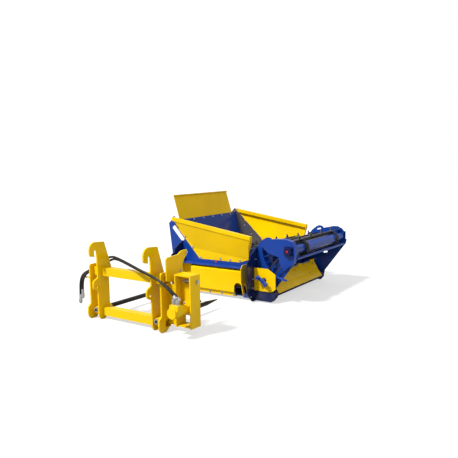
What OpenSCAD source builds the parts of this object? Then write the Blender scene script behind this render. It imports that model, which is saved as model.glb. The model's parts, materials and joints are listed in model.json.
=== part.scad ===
// Round-bale unroller with a detachable loader headstock, parked in front of it.
// Machine coordinates: X runs along the conveyor towards the outlet, Y runs from the front
// side plate to the rear one, Z is up from the ground. X = 0 is midway between the two
// fork pockets and Y = 0 is the outer face of the front side plate. place() moves a piece
// from these coordinates to the object's own frame, at the middle of its base.

/* [Body] */
// Width over the two side plates
body_w = 1300; // [1050:10:1700]
// Reach of the hopper end from the middle of the fork pockets
tail_reach = 671; // [640:1:900]
// Reach of the outlet tip from the middle of the fork pockets
outlet_reach = 1055; // [1040:1:1400]
// Height of the hopper corner above the ground
hopper_h = 865; // [800:1:1050]
// Height of the lower edge of the opening in each side plate
sill_h = 430; // [420:1:470]
// Thickness of the side plates
plate_t = 8; // [5:0.5:12]
// Thickness of folded sheet
sheet_t = 4; // [2.5:0.5:6]
// Diameter of the hopper and guard bolts
bolt_d = 12; // [8:1:16]

/* [Hopper] */
// Height of the backboard, measured along it
board_h = 306; // [200:1:420]
// Lean of the backboard from the upright
board_lean = 17; // [5:1:40]
// Flare of the front and rear panels from the upright
panel_flare = 11; // [4:0.5:18]
// Height of the folded rim on the panels
rim_h = 40; // [25:1:60]
// Width of the folded rim on the panels
rim_w = 48; // [30:1:56]

/* [Conveyor] */
// Rise of the conveyor above level
conveyor_rise = 11.8; // [8:0.1:13]
// Height of the middle shaft above the ground
mid_shaft_h = 370; // [350:1:380]
// Diameter of the conveyor shafts
shaft_d = 40; // [25:1:50]
// Pitch radius of the conveyor sprockets
sprocket_r = 75; // [60:1:80]
// Distance from each side plate to its conveyor chain
chain_inset = 250; // [150:1:350]
// Spacing of the slats along the chain
slat_pitch = 300; // [200:1:400]
// Height of the teeth on the slats
tooth_h = 46; // [20:1:50]
// Radial clearance of a shaft in its bearing
running_gap = 0.05; // [0.02:0.01:0.1]

/* [Drive] */
// Distance of the drive dog from the middle of the fork pockets
dog_x = 685; // [660:1:720]
// Height of the drive dog above the ground
dog_h = 240; // [220:1:260]
// Reach of the drive dog in front of the side plate
dog_reach = 150; // [130:1:170]
// Teeth of the sprocket on the dog shaft
dog_teeth = 12; // [10:1:14]
// Teeth of the sprocket on the drive shaft
drive_teeth = 16; // [12:1:17]
// Pitch of the drive chain
chain_pitch = 19.05; // [12.7, 15.875, 19.05]

/* [Fork pockets and frame] */
// Distance between the two spear axes
spear_gap = 770; // [740:1:780]
// Height of the spear axes above the ground
spear_h = 90; // [85:1:110]
// Outside size of the square pocket tubes
pocket_size = 90; // [75:1:100]
// Wall of the pocket tubes
pocket_wall = 5; // [3:0.5:8]
// Place of the right front post along the machine
post_x = 560; // [550:1:572]
// Thickness of the front posts
post_t = 12; // [8:1:16]

/* [Deflector flap] */
// Diameter of the flap's hinge rod
flap_rod_d = 20; // [14:1:26]
// Gap between the flap and each side plate
flap_inset = 96; // [40:1:140]

/* [Headstock] */
// Distance from the front side plate to the hook plates' front edge when parked
park_y = 1445; // [1445:1:1600]
// Distance between the middles of the two hook plates
hook_gap = 680; // [640:1:690]
// Distance between the middles of the two outer plates
outer_gap = 900; // [880:1:910]
// Thickness of the hook and outer plates
stock_t = 16; // [12:1:20]
// Outside size of the two square cross tubes
beam_size = 78; // [60:1:90]
// Wall of the two cross tubes
beam_wall = 6; // [3:0.5:8]
// Diameter of the spears
spear_d = 45; // [36:1:50]
// Length of each spear behind its sleeve
spear_l = 740; // [500:1:900]
// Diameter of the lock pin holes in the hook plates
lock_d = 28; // [20:1:34]
// Height of the lock pin holes above the ground
lock_h = 325; // [320:1:330]
// Width of the hook slots
hook_slot = 31; // [25:1:36]
// Diameter of the latch shaft
latch_d = 22; // [16:1:26]
// Diameter of the hoses
hose_d = 22; // [16:1:26]

/* [Hidden] */

BLUE = [0.06, 0.16, 0.55];
NAVY = [0.03, 0.07, 0.3];
YELLOW = [1, 0.78, 0];
STEEL = [0.45, 0.42, 0.4];
SILVER = [0.75, 0.76, 0.78];
BLACK = [0.08, 0.08, 0.09];
RED = [0.8, 0.1, 0.08];
round_fn = 48;
clear = 0.5;

// Conveyor line: it passes the middle shaft and rises towards the outlet.
mid_x = 15;
drive_x = outlet_reach - 80;
tail_x = 271 - tail_reach;
function line_z(x) = mid_shaft_h + (x - mid_x) * tan(conveyor_rise);
chain_half = 9;
sprocket_tip = sprocket_r - chain_half - 0.5;
slat_off = sprocket_r + chain_half;
slat_t = 10;
slat_len = body_w - 2 * plate_t - 24;
chain_w = 14;

// Side plate outline, as seen from the front
left_x = -tail_reach;
plate_base = 28;
hump_x = outlet_reach - 342;
nose_z = line_z(drive_x) + 120;
notch_left = [left_x + 115, hopper_h - 41];
notch_foot = [-149, sill_h + 15];
panel_base = sill_h - 45;

// Backboard and end wall
wall_top = [left_x + 99, hopper_h - 50];
wall_knee = [left_x + 183, 466];
wall_foot = [left_x + 189, 400];

// Fork pockets and the front frame
pocket_x = spear_gap / 2;
guard_y = -120;
guard_left = -256;
guard_right = 428;
ledge_z = panel_base - 40;
ledge_right = 440;
post_left_x = -pocket_x - pocket_size / 2 - 40;
ledge_left = post_left_x + post_t / 2;
pocket_front = guard_y + 14;

// Bend and rim of the hopper panels, as seen from the front
slope_head = [left_x + 108, hopper_h - 107];
slope_foot = [-215, panel_base];
slope_way = unit(slope_foot - slope_head);
slope_in = [-slope_way[1], slope_way[0]];
strip_w = 40;
strip_head = slope_head + slope_in * strip_w;
bend_left = [-269, 501];
bend_right = [ledge_right + 10, 427];
rim_left = [left_x + 96, hopper_h - 15];
rim_right = [500, hopper_h - 184];
bend_way = unit(bend_right - bend_left);
bend_up = [-bend_way[1], bend_way[0]];

// Place of a side-view point on the flared sheet: along the bend, then up the slope
function on_flare(p) = [(p - bend_left) * bend_way, (p - bend_left) * bend_up / cos(panel_flare)];
function flare_y(p) = -((p - bend_left) * bend_up) * tan(panel_flare);

// Drive line
dog_radius = chain_pitch / (2 * sin(180 / dog_teeth));
drive_radius = chain_pitch / (2 * sin(180 / drive_teeth));
drive_z = line_z(drive_x);
wheel_y = -34;
wheel_w = 11;
dog_guard_y = -72;

// Deflector flap
flap_x = outlet_reach - 410;
flap_z = 258;
flap_len = body_w - 2 * flap_inset;

// Headstock: v runs from the hook plates' front edge towards the unroller.
function stock_y(v) = v - park_y;
hook_x = hook_gap / 2;
outer_x = outer_gap / 2;
beam_v = 45;
beam_y = stock_y(beam_v);
upper_z = 424;
lower_z = 36;
sleeve_d = 62;
sleeve_end = 190;
spear_tip = stock_y(sleeve_end + spear_l);
box_left = 592;
box_right = 766;
box_t = 12;
box_front = stock_y(22);
box_rear = stock_y(155);
box_base = 75;
box_top = 535;
mount_v = 100;
motor_front = stock_y(mount_v);
motor_end = stock_y(-138);
latch_v = 110;
lock_v = -12;
latch_z = 470;
latch_x = 520;
latch_t = 12;
holder_z = 394;
outer_front = 4;
grip_z = 530;

// Hose routes, from the motor fitting to the coupler
pressure_route = [
    [652, -1505, 370], [610, -1503, 405], [545, -1500, 448], [480, -1497, 480],
    [410, -1492, 507], [310, -1482, 532], [210, -1468, 553], [110, -1445, 572],
    [10, -1415, 586], [-90, -1378, 595], [-190, -1335, 598], [-290, -1288, 592],
    [-380, -1264, 572], [-450, -1280, 540], [-500, -1320, 500], [-518, -1360, 466],
    [-526, -1398, 447], [-529, -1434, 435], [-531, -1465, 409], [-532, -1482, 372],
    [-533, -1489, 327], [-533, -1492, 282], [-533, -1493, 237]
];
return_route = [
    [668, -1477, 352], [625, -1475, 385], [560, -1473, 427], [490, -1470, 460],
    [415, -1466, 486], [310, -1456, 512], [210, -1442, 532], [110, -1420, 550],
    [10, -1391, 564], [-90, -1355, 573], [-190, -1313, 575], [-290, -1268, 567],
    [-370, -1240, 545], [-430, -1255, 520], [-470, -1292, 490], [-487, -1345, 462],
    [-494, -1397, 446], [-497, -1434, 435], [-499, -1465, 409], [-500, -1482, 372],
    [-500, -1489, 330], [-500, -1491, 290]
];

// The object's own frame stands at the middle of its base.
centre_x = (left_x + outlet_reach) / 2;
rear_edge = body_w + sheet_t - flare_y(rim_left);
centre_y = (motor_end + rear_edge) / 2;

module place() {
    translate([-centre_x, -centre_y, 0]) children();
}

// ---- Shared shapes ----

function unit(v) = v / norm(v);
function side_of(a, b) = let (d = unit(b - a)) [-d[1], d[0]];
function corner(p, i, t) =
    let (
        last = len(p) - 1,
        before = i > 0 ? side_of(p[i - 1], p[i]) : side_of(p[0], p[1]),
        after = i < last ? side_of(p[i], p[i + 1]) : before,
        way = unit(before + after)
    )
    p[i] + way * t / (way * before);

// Closed outline of a folded sheet whose outer face follows the points p
function folded(p, t) = concat(p, [for (i = [len(p) - 1:-1:0]) corner(p, i, t)]);

// An outline in X and Z, made solid from y0 to y0 + t
module across(y0, t) {
    translate([0, y0 + t, 0]) rotate([90, 0, 0]) linear_extrude(t) children();
}

// An outline in Y and Z, made solid from x0 to x0 + t
module along(x0, t) {
    translate([x0, 0, 0]) rotate([90, 0, 90]) linear_extrude(t) children();
}

module rod_y(d, y0, y1, x, z) {
    translate([x, y1, z]) rotate([90, 0, 0]) cylinder(d = d, h = y1 - y0, $fn = round_fn);
}

module rod_x(d, x0, x1, y, z) {
    translate([x0, y, z]) rotate([0, 90, 0]) cylinder(d = d, h = x1 - x0, $fn = round_fn);
}

module block(low, high) {
    translate(low) cube(high - low);
}

module square_tube(size, wall, length) {
    difference() {
        cube([size, length, size]);
        translate([wall, -1, wall]) cube([size - 2 * wall, length + 2, size - 2 * wall]);
    }
}

// A hexagon bolt along Y with its head at the front and a nut behind the grip
module bolt_y(x, z, face, grip) {
    head_t = bolt_d * 0.6;
    rod_y(bolt_d, face - 1, face + grip + head_t + 3, x, z);
    translate([x, face, z]) rotate([90, 0, 0]) cylinder(d = bolt_d * 1.9, h = head_t, $fn = 6);
    translate([x, face + grip + head_t, z]) rotate([90, 0, 0])
        cylinder(d = bolt_d * 1.9, h = head_t, $fn = 6);
}

// The conveyor's own axes: u along the rising line from the middle shaft, n square to it
module on_line(u, n) {
    translate([mid_x, 0, mid_shaft_h]) rotate([0, -conveyor_rise, 0]) translate([u, 0, n])
        children();
}

function line_u(x) = (x - mid_x) / cos(conveyor_rise);

// Outline of a loop round the tail and drive shafts, at radius r
module loop_outline(r) {
    translate([mid_x, mid_shaft_h]) rotate(conveyor_rise) {
        translate([line_u(tail_x), 0]) circle(r, $fn = round_fn);
        translate([line_u(drive_x), 0]) circle(r, $fn = round_fn);
        translate([line_u(tail_x), -r]) square([line_u(drive_x) - line_u(tail_x), 2 * r]);
    }
}

// ---- Side plates ----

module plate_outline() {
    difference() {
        polygon([
            [left_x + 71, plate_base], [left_x + 49, 392], [left_x, hopper_h - 88],
            [left_x + 88, hopper_h], notch_left, notch_foot, [-100, sill_h], [330, sill_h],
            [hump_x - 243, nose_z - 150], [hump_x - 154, nose_z - 108],
            [hump_x - 110, nose_z - 54], [hump_x - 60, nose_z - 16], [hump_x - 22, nose_z],
            [hump_x + 18, nose_z - 6], [hump_x + 37, nose_z - 30],
            [hump_x + 100, nose_z - 16], [hump_x + 161, nose_z - 2],
            [hump_x + 227, nose_z], [outlet_reach - 60, nose_z - 26],
            [outlet_reach - 30, nose_z - 62], [outlet_reach - 49, nose_z - 125],
            [outlet_reach, nose_z - 157], [outlet_reach - 9, nose_z - 203],
            [outlet_reach - 285, 125], [outlet_reach - 300, plate_base + 12],
            [outlet_reach - 338, 0], [outlet_reach - 415, 0],
            [outlet_reach - 428, plate_base], [left_x + 200, plate_base],
            [left_x + 185, 0], [left_x + 95, 0]
        ]);
        // Hand slots
        translate([hump_x - 46, nose_z - 60]) rotate(16) square([52, 18]);
        translate([outlet_reach - 300, 342]) rotate(16) square([56, 20]);
        // Pocket tubes
        for (side = [-1, 1])
            translate([side * pocket_x - pocket_size / 2, spear_h - pocket_size / 2])
                square(pocket_size);
        // Shafts
        for (x = [tail_x, mid_x, drive_x])
            translate([x, line_z(x)]) circle(d = shaft_d + 6, $fn = round_fn);
        translate([flap_x, flap_z]) circle(d = flap_rod_d, $fn = round_fn);
    }
}

// Bolts of the hopper panels: down the sloping edge, then along the lower edge
panel_bolts = concat(
    [for (i = [0:2]) slope_head + slope_in * strip_w / 2 + slope_way * (190 + 160 * i)],
    [for (i = [0:2]) [80 + 130 * i, sill_h - 22]]
);

module panel_bolt_holes() {
    for (p = panel_bolts) translate(p) circle(d = bolt_d + 2 * clear, $fn = round_fn);
}

// Bolts of the lower flange of the front guard
guard_bolts = [for (i = [0:3]) guard_left + 90 + 160 * i];

module side_plate_front() {
    place() color(BLUE) difference() {
        union() {
            across(0, plate_t) difference() {
                plate_outline();
                panel_bolt_holes();
                translate([dog_x, dog_h]) circle(d = shaft_d + 6, $fn = round_fn);
            }
            // Pivot boss at the hopper corner
            rod_y(26, -14, 0, left_x + 82, hopper_h - 16);
        }
    }
}

module side_plate_rear() {
    place() color(BLUE) union() {
        across(body_w - plate_t, plate_t) difference() {
            plate_outline();
            panel_bolt_holes();
        }
        // Three tabs along the sloping edge of the opening
        for (k = [0:2])
            across(body_w - plate_t, plate_t)
                translate(notch_left + (notch_foot - notch_left) * (0.04 + 0.32 * k))
                    rotate(atan2(notch_foot[1] - notch_left[1], notch_foot[0] - notch_left[0]))
                        translate([0, -2]) square([150, 14]);
        rod_y(26, body_w, body_w + 14, left_x + 82, hopper_h - 16);
    }
}

// ---- Hopper ----

module hopper_end_wall() {
    place() color(BLUE) difference() {
        across(plate_t, body_w - 2 * plate_t)
            polygon(folded([wall_foot, wall_knee, wall_top], sheet_t));
        board_bolt_holes();
    }
}

// Bed strips between and beside the chains, on three cross bars
bed_n = sprocket_r + 1;
bed_u0 = line_u(tail_x) + 40;
bed_u1 = line_u(drive_x) - 60;
bed_gap = 18;

module conveyor_bed() {
    place() color(STEEL) union() {
        for (s = [
            [plate_t + 12, chain_inset - bed_gap],
            [chain_inset + bed_gap, body_w - chain_inset - bed_gap],
            [body_w - chain_inset + bed_gap, body_w - plate_t - 12]
        ])
            on_line(bed_u0, bed_n)
                translate([0, s[0], 0]) cube([bed_u1 - bed_u0, s[1] - s[0], sheet_t]);
        for (u = [bed_u0 + 90, line_u(mid_x) + 140, bed_u1 - 90])
            on_line(u, bed_n - 44)
                translate([0, plate_t, 0]) difference() {
                    cube([40, body_w - 2 * plate_t, 44]);
                    for (y = [chain_inset, body_w - chain_inset])
                        translate([-1, y - plate_t - bed_gap, 25]) cube([42, 2 * bed_gap, 20]);
                }
    }
}

// Hopper panel: a lower strip on the plate, a flared upper sheet and a folded rim
module panel_sheet() {
    across(-sheet_t, sheet_t) difference() {
        polygon([
            bend_left, strip_head, slope_head, slope_foot, [338, panel_base + 3], bend_right
        ]);
        panel_bolt_holes();
    }
    // Flared sheet, turned about the bend
    translate([bend_left[0], 0, bend_left[1]])
        rotate([0, -atan2(bend_way[1], bend_way[0]), 0]) rotate([90 + panel_flare, 0, 0])
            linear_extrude(sheet_t) polygon([
                on_flare(bend_left), on_flare(bend_right), on_flare([rim_right[0] - 34, 560]),
                on_flare(rim_right), on_flare(rim_left)
            ]);
    // Closing sheet between the sloping strip and the flared sheet
    hull() {
        translate([strip_head[0], -sheet_t, strip_head[1] - 2]) cube([2, sheet_t, 2]);
        translate([bend_left[0], -sheet_t, bend_left[1]]) cube([2, sheet_t, 2]);
        translate([rim_left[0], flare_y(rim_left) - sheet_t, rim_left[1] - 2])
            cube([2, sheet_t, 2]);
    }
    // Folded rim
    hull() {
        for (p = [rim_left, rim_right])
            translate([p[0], flare_y(p) - sheet_t, p[1] - rim_h + 6]) cube([1, rim_w, rim_h]);
    }
    // Return flange at the outlet end
    hull() {
        translate([rim_right[0] - 3, flare_y(rim_right) - sheet_t, rim_right[1] - rim_h + 6])
            cube([4, rim_w, 1]);
        translate([bend_right[0] - 4, -sheet_t, bend_right[1]]) cube([4, sheet_t, 1]);
    }
}

module hopper_panel_front() {
    place() color(YELLOW) panel_sheet();
}

module hopper_panel_rear() {
    place() color(YELLOW) translate([0, body_w, 0]) mirror([0, 1, 0]) panel_sheet();
}

// Backboard: sheet with a bottom strip along the end wall and a folded top rim
board_inset = 89;
strip_way = unit(wall_top - wall_knee);
board_foot = wall_top + 2 * sheet_t * [-strip_way[1], strip_way[0]];
board_way = [-sin(board_lean), cos(board_lean)];
board_top = board_foot + board_way * board_h;
board_bolts = [for (i = [0:5]) board_inset + 60 + i * (body_w - 2 * board_inset - 120) / 5];

// A place on the backboard's strip, with Z pointing through it into the hopper
module on_strip(y) {
    p = board_foot - strip_way * 17;
    translate([p[0], y, p[1]]) rotate([0, atan2(strip_way[1], -strip_way[0]), 0]) children();
}

module board_bolt_holes() {
    for (y = board_bolts)
        on_strip(y) translate([0, 0, -10]) cylinder(d = bolt_d + 2 * clear, h = 30, $fn = round_fn);
}

module backboard() {
    place() color(YELLOW) difference() {
        across(board_inset, body_w - 2 * board_inset)
            polygon(folded([
                board_foot - strip_way * 34, board_foot, board_top, board_top + [20, 4],
                board_top + [22, -10]
            ], -sheet_t));
        board_bolt_holes();
    }
}

module hopper_bolts() {
    place() color(SILVER) union() {
        for (p = panel_bolts) {
            bolt_y(p[0], p[1], -sheet_t, sheet_t + plate_t);
            translate([0, body_w, 0]) mirror([0, 1, 0])
                bolt_y(p[0], p[1], -sheet_t, sheet_t + plate_t);
        }
        for (y = board_bolts) on_strip(y) {
            translate([0, 0, -7]) cylinder(d = bolt_d * 1.9, h = 7, $fn = 6);
            translate([0, 0, -1]) cylinder(d = bolt_d, h = 2 * sheet_t + 2, $fn = round_fn);
            translate([0, 0, 2 * sheet_t]) cylinder(d = bolt_d * 1.9, h = 7, $fn = 6);
        }
    }
}

// ---- Fork pockets and front frame ----

module pocket_tube(side) {
    translate([side * pocket_x - pocket_size / 2, pocket_front, spear_h - pocket_size / 2])
        square_tube(pocket_size, pocket_wall, body_w - pocket_front);
}

module pocket_tube_left() {
    place() color(NAVY) pocket_tube(-1);
}

module pocket_tube_right() {
    place() color(NAVY) pocket_tube(1);
}

// Upright plate behind the guard, with openings for both pocket tubes
module base_plate() {
    place() color(YELLOW) difference() {
        block([ledge_left, -28, plate_base], [ledge_right, -24, ledge_z - 6]);
        for (side = [-1, 1])
            block([side * pocket_x - pocket_size / 2, -40, spear_h - pocket_size / 2],
                [side * pocket_x + pocket_size / 2, 0, spear_h + pocket_size / 2]);
        for (x = guard_bolts)
            rod_y(bolt_d + 2 * clear, -40, 0, x, plate_base + 20);
    }
}

// Guard: a folded sheet that stands proud of the frame, with an arch for the right spear
module front_guard() {
    place() color(YELLOW) difference() {
        union() {
            along(guard_left, guard_right - guard_left)
                polygon(folded([
                    [-30, ledge_z - 6], [guard_y, ledge_z - 40], [guard_y, 78],
                    [guard_y + 22, 66], [guard_y + 22, plate_base]
                ], sheet_t));
            // Bevelled end
            hull() {
                block([guard_left - 2, guard_y, 80], [guard_left + 2, guard_y + 4, ledge_z - 42]);
                block([guard_left - 52, -32, 80], [guard_left - 48, -28, ledge_z - 10]);
            }
        }
        block([pocket_x - 50, guard_y - 10, plate_base - 1], [pocket_x + 50, -60, spear_h + 45]);
        rod_y(100, guard_y - 10, -60, pocket_x, spear_h + 45);
        for (x = guard_bolts)
            rod_y(bolt_d + 2 * clear, guard_y, -60, x, plate_base + 20);
    }
}

// Beam behind the guard's lower flange, and the flange along the top of the front frame
module front_ledge() {
    place() color(BLUE) difference() {
        union() {
            block([ledge_left, -110, ledge_z - 6], [ledge_right, 0, ledge_z]);
            block([ledge_left, -6, ledge_z], [ledge_right, 0, panel_base]);
            for (span = [
                [ledge_left, -pocket_x - pocket_size / 2],
                [-pocket_x + pocket_size / 2, pocket_x - 50],
                [pocket_x + 50, post_x - post_t / 2]
            ])
                block([span[0], guard_y + 22 + sheet_t, plate_base], [span[1], -28, 66]);
        }
        for (x = guard_bolts)
            rod_y(bolt_d + 2 * clear, guard_y, 0, x, plate_base + 20);
        translate([mid_x, 0, mid_shaft_h]) rotate([90, 0, 0])
            cylinder(d = 24, h = 10, $fn = round_fn);
    }
}

module frame_bolts() {
    place() color(SILVER) union() {
        for (x = guard_bolts)
            bolt_y(x, plate_base + 20, guard_y + 22, -24 - guard_y - 22);
        for (p = post_bolts, side = [[post_left_x, 3], [post_x, 11]])
            rod_x(post_bolt_d, side[0] - post_t / 2 - 9, side[0] + post_t / 2 + side[1], p[0], p[1]);
    }
}

// Bracket beside each pocket: an upright plate with two flared lips below it
module pocket_bracket(side, top) {
    x = side * ledge_right;
    flare = side * 18;
    along(min(x, x + side * 6), 6)
        polygon([[-28, top], [-118, top], [-150, top - 35], [-150, 200], [-118, 180], [-28, 180]]);
    for (lip = [[-140, 62], [-72, 118]])
        hull() {
            block([min(x, x + side * 6), lip[0], 176], [max(x, x + side * 6), lip[0] + 40, 182]);
            block([min(x + flare, x + flare + side * 6), lip[0] + 6, lip[1]],
                [max(x + flare, x + flare + side * 6), lip[0] + 34, lip[1] + 2]);
        }
}

module pocket_brackets() {
    place() color(YELLOW) {
        pocket_bracket(-1, ledge_z - 6);
        pocket_bracket(1, panel_base);
    }
}

// Post: an upright plate that steps forward and ends in a rounded foot
post_bolt_d = 16;
post_bolts = [[-45, 453], [-110, 247], [-112, 150], [-150, 60]];

module post_outline() {
    union() {
        polygon([
            [0, sill_h + 153], [-146, sill_h + 71], [-146, sill_h + 40], [-205, 440],
            [-205, 94], [-160, 40], [0, 40], [0, panel_base]
        ]);
        translate([-92, 48]) circle(48, $fn = round_fn);
        translate([-92, 0]) square([92, 60]);
    }
}

module post(x) {
    along(x - post_t / 2, post_t) difference() {
        post_outline();
        for (p = post_bolts) translate(p) circle(d = post_bolt_d + 2 * clear, $fn = round_fn);
    }
}

module post_left() {
    place() color(NAVY) post(post_left_x);
}

module post_right() {
    place() color(NAVY) post(post_x);
}

// Skid between the right post and the outlet foot
module front_skid() {
    place() color(NAVY) across(-86, 78)
        polygon([
            [post_x + post_t / 2, 15], [post_x + post_t / 2, 112], [825, 112], [829, 100],
            [815, 60], [777, 15]
        ]);
}

// Yellow guard plate round the drive dog, with folded right and lower edges
module dog_guard() {
    place() color(YELLOW) difference() {
        union() {
            across(dog_guard_y, sheet_t)
                polygon([
                    [post_x + post_t / 2, 365], [735, 365], [820, 312], [820, 150], [770, 118],
                    [post_x + post_t / 2, 118]
                ]);
            block([816, dog_guard_y, 150], [820, dog_guard_y + 14, 312]);
            block([post_x + post_t / 2, dog_guard_y, 118], [770, -6, 122]);
        }
        rod_y(shaft_d + 16, dog_guard_y - 1, dog_guard_y + sheet_t + 1, dog_x, dog_h);
    }
}

// Cover of the drive chain, with a curved flange struck from the drive shaft
module case_outline() {
    polygon([
        [hump_x - 63, nose_z - 50], [hump_x + 7, nose_z - 18], [hump_x + 113, nose_z - 5],
        [hump_x + 227, nose_z - 2], [outlet_reach - 43, nose_z - 22],
        [outlet_reach - 13, nose_z - 80], [outlet_reach - 5, drive_z - 25],
        [outlet_reach - 30, drive_z - 130], [outlet_reach - 134, drive_z - 207],
        [outlet_reach - 187, drive_z - 140], [outlet_reach - 205, drive_z - 70],
        [hump_x + 17, drive_z - 40], [hump_x - 53, drive_z + 20]
    ]);
}

flange_r = 325;

module chain_case() {
    place() color(BLUE) difference() {
        union() {
            across(-60, sheet_t) case_outline();
            across(-60, 60) difference() {
                case_outline();
                offset(delta = -sheet_t) case_outline();
            }
            // Curved flange
            across(-56, 56) intersection() {
                translate([drive_x, drive_z]) difference() {
                    circle(flange_r, $fn = 96);
                    circle(flange_r - 6, $fn = 96);
                }
                polygon([
                    [drive_x, drive_z], [drive_x - 500, drive_z + 30], [drive_x - 500, -200],
                    [drive_x - 105, -200]
                ]);
            }
            // Ribs between the flange and the cover
            for (a = [182, 195, 208])
                translate([drive_x, 0, drive_z]) rotate([0, -a, 0])
                    translate([flange_r - 72, -40, -3]) cube([70, 40, 6]);
        }
        rod_y(96, -61, -50, drive_x, drive_z);
        // Way for the chain, out of the lower side of the cover
        translate([dog_x, 0, dog_h]) rotate([0, -atan2(drive_z - dog_h, drive_x - dog_x), 0])
            translate([60, -54, -drive_radius - 14]) cube([280, 56, 2 * drive_radius + 28]);
    }
}

module drive_bearings() {
    place() color(NAVY) for (m = [0, 1])
        translate([0, m * body_w, 0]) mirror([0, m, 0]) difference() {
            union() {
                if (m == 1) {
                    translate([drive_x - 60, -14, drive_z - 60]) cube([120, 14, 120]);
                    rod_y(84, -44, -14, drive_x, drive_z);
                } else {
                    translate([drive_x - 46, -74, drive_z - 46]) cube([92, 14, 92]);
                    rod_y(84, -98, -74, drive_x, drive_z);
                }
            }
            rod_y(shaft_d + 2 * running_gap, m == 1 ? -38 : -90, 1, drive_x, drive_z);
        }
    // Bearing of the dog shaft, on the front side plate
    place() color(NAVY) difference() {
        rod_y(72, -26, 0, dog_x, dog_h);
        rod_y(shaft_d + 2 * running_gap, -27, 1, dog_x, dog_h);
    }
}

module idler_bearings() {
    place() color(NAVY) for (x = [tail_x, mid_x], m = [0, 1])
        translate([0, m * body_w, 0]) mirror([0, m, 0]) difference() {
            rod_y(78, plate_t, plate_t + 22, x, line_z(x));
            rod_y(shaft_d + 2 * running_gap, plate_t - 1, plate_t + 23, x, line_z(x));
        }
}

module grease_caps() {
    place() color(RED) union() {
        rod_y(18, -104, -98, drive_x, drive_z);
        rod_y(18, body_w + 44, body_w + 50, drive_x, drive_z);
        for (x = [mid_x, tail_x]) {
            rod_y(20, -7, 1, x, line_z(x));
            rod_y(shaft_d + 6, 0, plate_t - 4.3, x, line_z(x));
            rod_y(20, body_w - 1, body_w + 7, x, line_z(x));
            rod_y(shaft_d + 6, body_w - plate_t + 4.3, body_w, x, line_z(x));
        }
    }
}

module outlet_tube() {
    place() color(BLUE)
        rod_y(28, plate_t, body_w - plate_t, outlet_reach - 33, drive_z - 88);
}

// Square tubes between the two side plates, low down at each end
module cross_members() {
    place() color(NAVY) for (x = [left_x + 110, outlet_reach - 366]) difference() {
        block([x, plate_t, 40], [x + 60, body_w - plate_t, 100]);
        block([x + 4, plate_t - 1, 44], [x + 56, body_w - plate_t + 1, 96]);
    }
}

module chain_tensioner() {
    place() color(NAVY) union() {
        translate([767, -52, 446]) cube([14, 52, 44]);
        rod_x(16, 735, 800, -30, 468);
    }
}

// ---- Deflector flap ----

module flap_rod() {
    place() color(SILVER) rod_y(flap_rod_d, 0, body_w, flap_x, flap_z);
}

flap_knee = [flap_x + 75, flap_z - 108];
flap_foot = [flap_x + 130, 75];
flap_root = [flap_x + 16, flap_z - 4];

module deflector_flap() {
    place() color(YELLOW) difference() {
        union() {
            across(flap_inset, flap_len)
                polygon(folded([flap_root, flap_knee, flap_foot], -sheet_t));
            for (k = [0:3])
                rod_y(flap_rod_d + 14, flap_inset + k * (flap_len - 90) / 3,
                    flap_inset + 90 + k * (flap_len - 90) / 3, flap_x, flap_z);
        }
        rod_y(flap_rod_d + 2 * running_gap, 0, body_w, flap_x, flap_z);
        for (k = [0:2])
            translate(flap_bolt(k)) rotate([0, 57, 0]) translate([0, 0, -30])
                cylinder(d = 10 + 2 * clear, h = 60, $fn = round_fn);
    }
}

function flap_bolt(k) =
    [flap_x + 34, flap_inset + 80 + k * (flap_len - 160) / 2, flap_z - 32];

module flap_bolts() {
    place() color(SILVER) for (k = [0:2])
        translate(flap_bolt(k)) rotate([0, 57, 0]) translate([0, 0, -9]) {
            cylinder(d = 10, h = 16, $fn = round_fn);
            translate([0, 0, 13]) cylinder(d = 18, h = 6, $fn = 6);
        }
}

// ---- Conveyor ----

module sprocket_disc(r, w, teeth, bore) {
    rotate([90, 0, 0]) difference() {
        linear_extrude(w, center = true) difference() {
            circle(r + 4, $fn = 64);
            for (i = [0:teeth - 1])
                rotate(i * 360 / teeth) translate([r + 5, 0]) circle(r * 2.1 / teeth, $fn = 16);
        }
        cylinder(d = bore, h = w + 60, center = true, $fn = round_fn);
    }
}

module drive_shaft() {
    place() color(STEEL)
        rod_y(shaft_d, -88, body_w + 36, drive_x, drive_z);
}

module drive_sprockets() {
    place() color(BLACK) for (y = [chain_inset, body_w - chain_inset])
        translate([drive_x, y, drive_z]) sprocket_disc(sprocket_tip - 4.5, 12, 12, shaft_d);
}

// Drum between the two sprockets and a stub beyond each of them
module end_drum() {
    drum_r = 58;
    place() color(BLUE) difference() {
        union() {
            translate([drive_x, body_w - chain_inset - 24, drive_z]) rotate([90, 0, 0])
                rotate(22.5) cylinder(r = drum_r, h = body_w - 2 * chain_inset - 48, $fn = 8);
            rod_y(96, plate_t + 30, chain_inset - 24, drive_x, drive_z);
            rod_y(96, body_w - chain_inset + 24, body_w - plate_t - 30, drive_x, drive_z);
        }
        rod_y(shaft_d, 0, body_w, drive_x, drive_z);
    }
}

// Large sprocket on the front end of the drive shaft
module chain_wheel() {
    place() color(STEEL) translate([drive_x, wheel_y, drive_z])
        sprocket_disc(drive_radius - 10, wheel_w, drive_teeth, shaft_d);
}

module idler_shaft(x) {
    rod_y(shaft_d, plate_t - 4, body_w - plate_t + 4, x, line_z(x));
}

module idler_rollers(x, r) {
    for (y = [chain_inset, body_w - chain_inset]) difference() {
        rod_y(2 * r, y - 20, y + 20, x, line_z(x));
        rod_y(shaft_d, y - 21, y + 21, x, line_z(x));
    }
}

module middle_shaft() {
    place() color(STEEL) idler_shaft(mid_x);
}

module middle_rollers() {
    place() color(BLACK) idler_rollers(mid_x, sprocket_tip);
}

module tail_shaft() {
    place() color(STEEL) idler_shaft(tail_x);
}

module tail_rollers() {
    place() color(BLACK) idler_rollers(tail_x, sprocket_tip);
}

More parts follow.
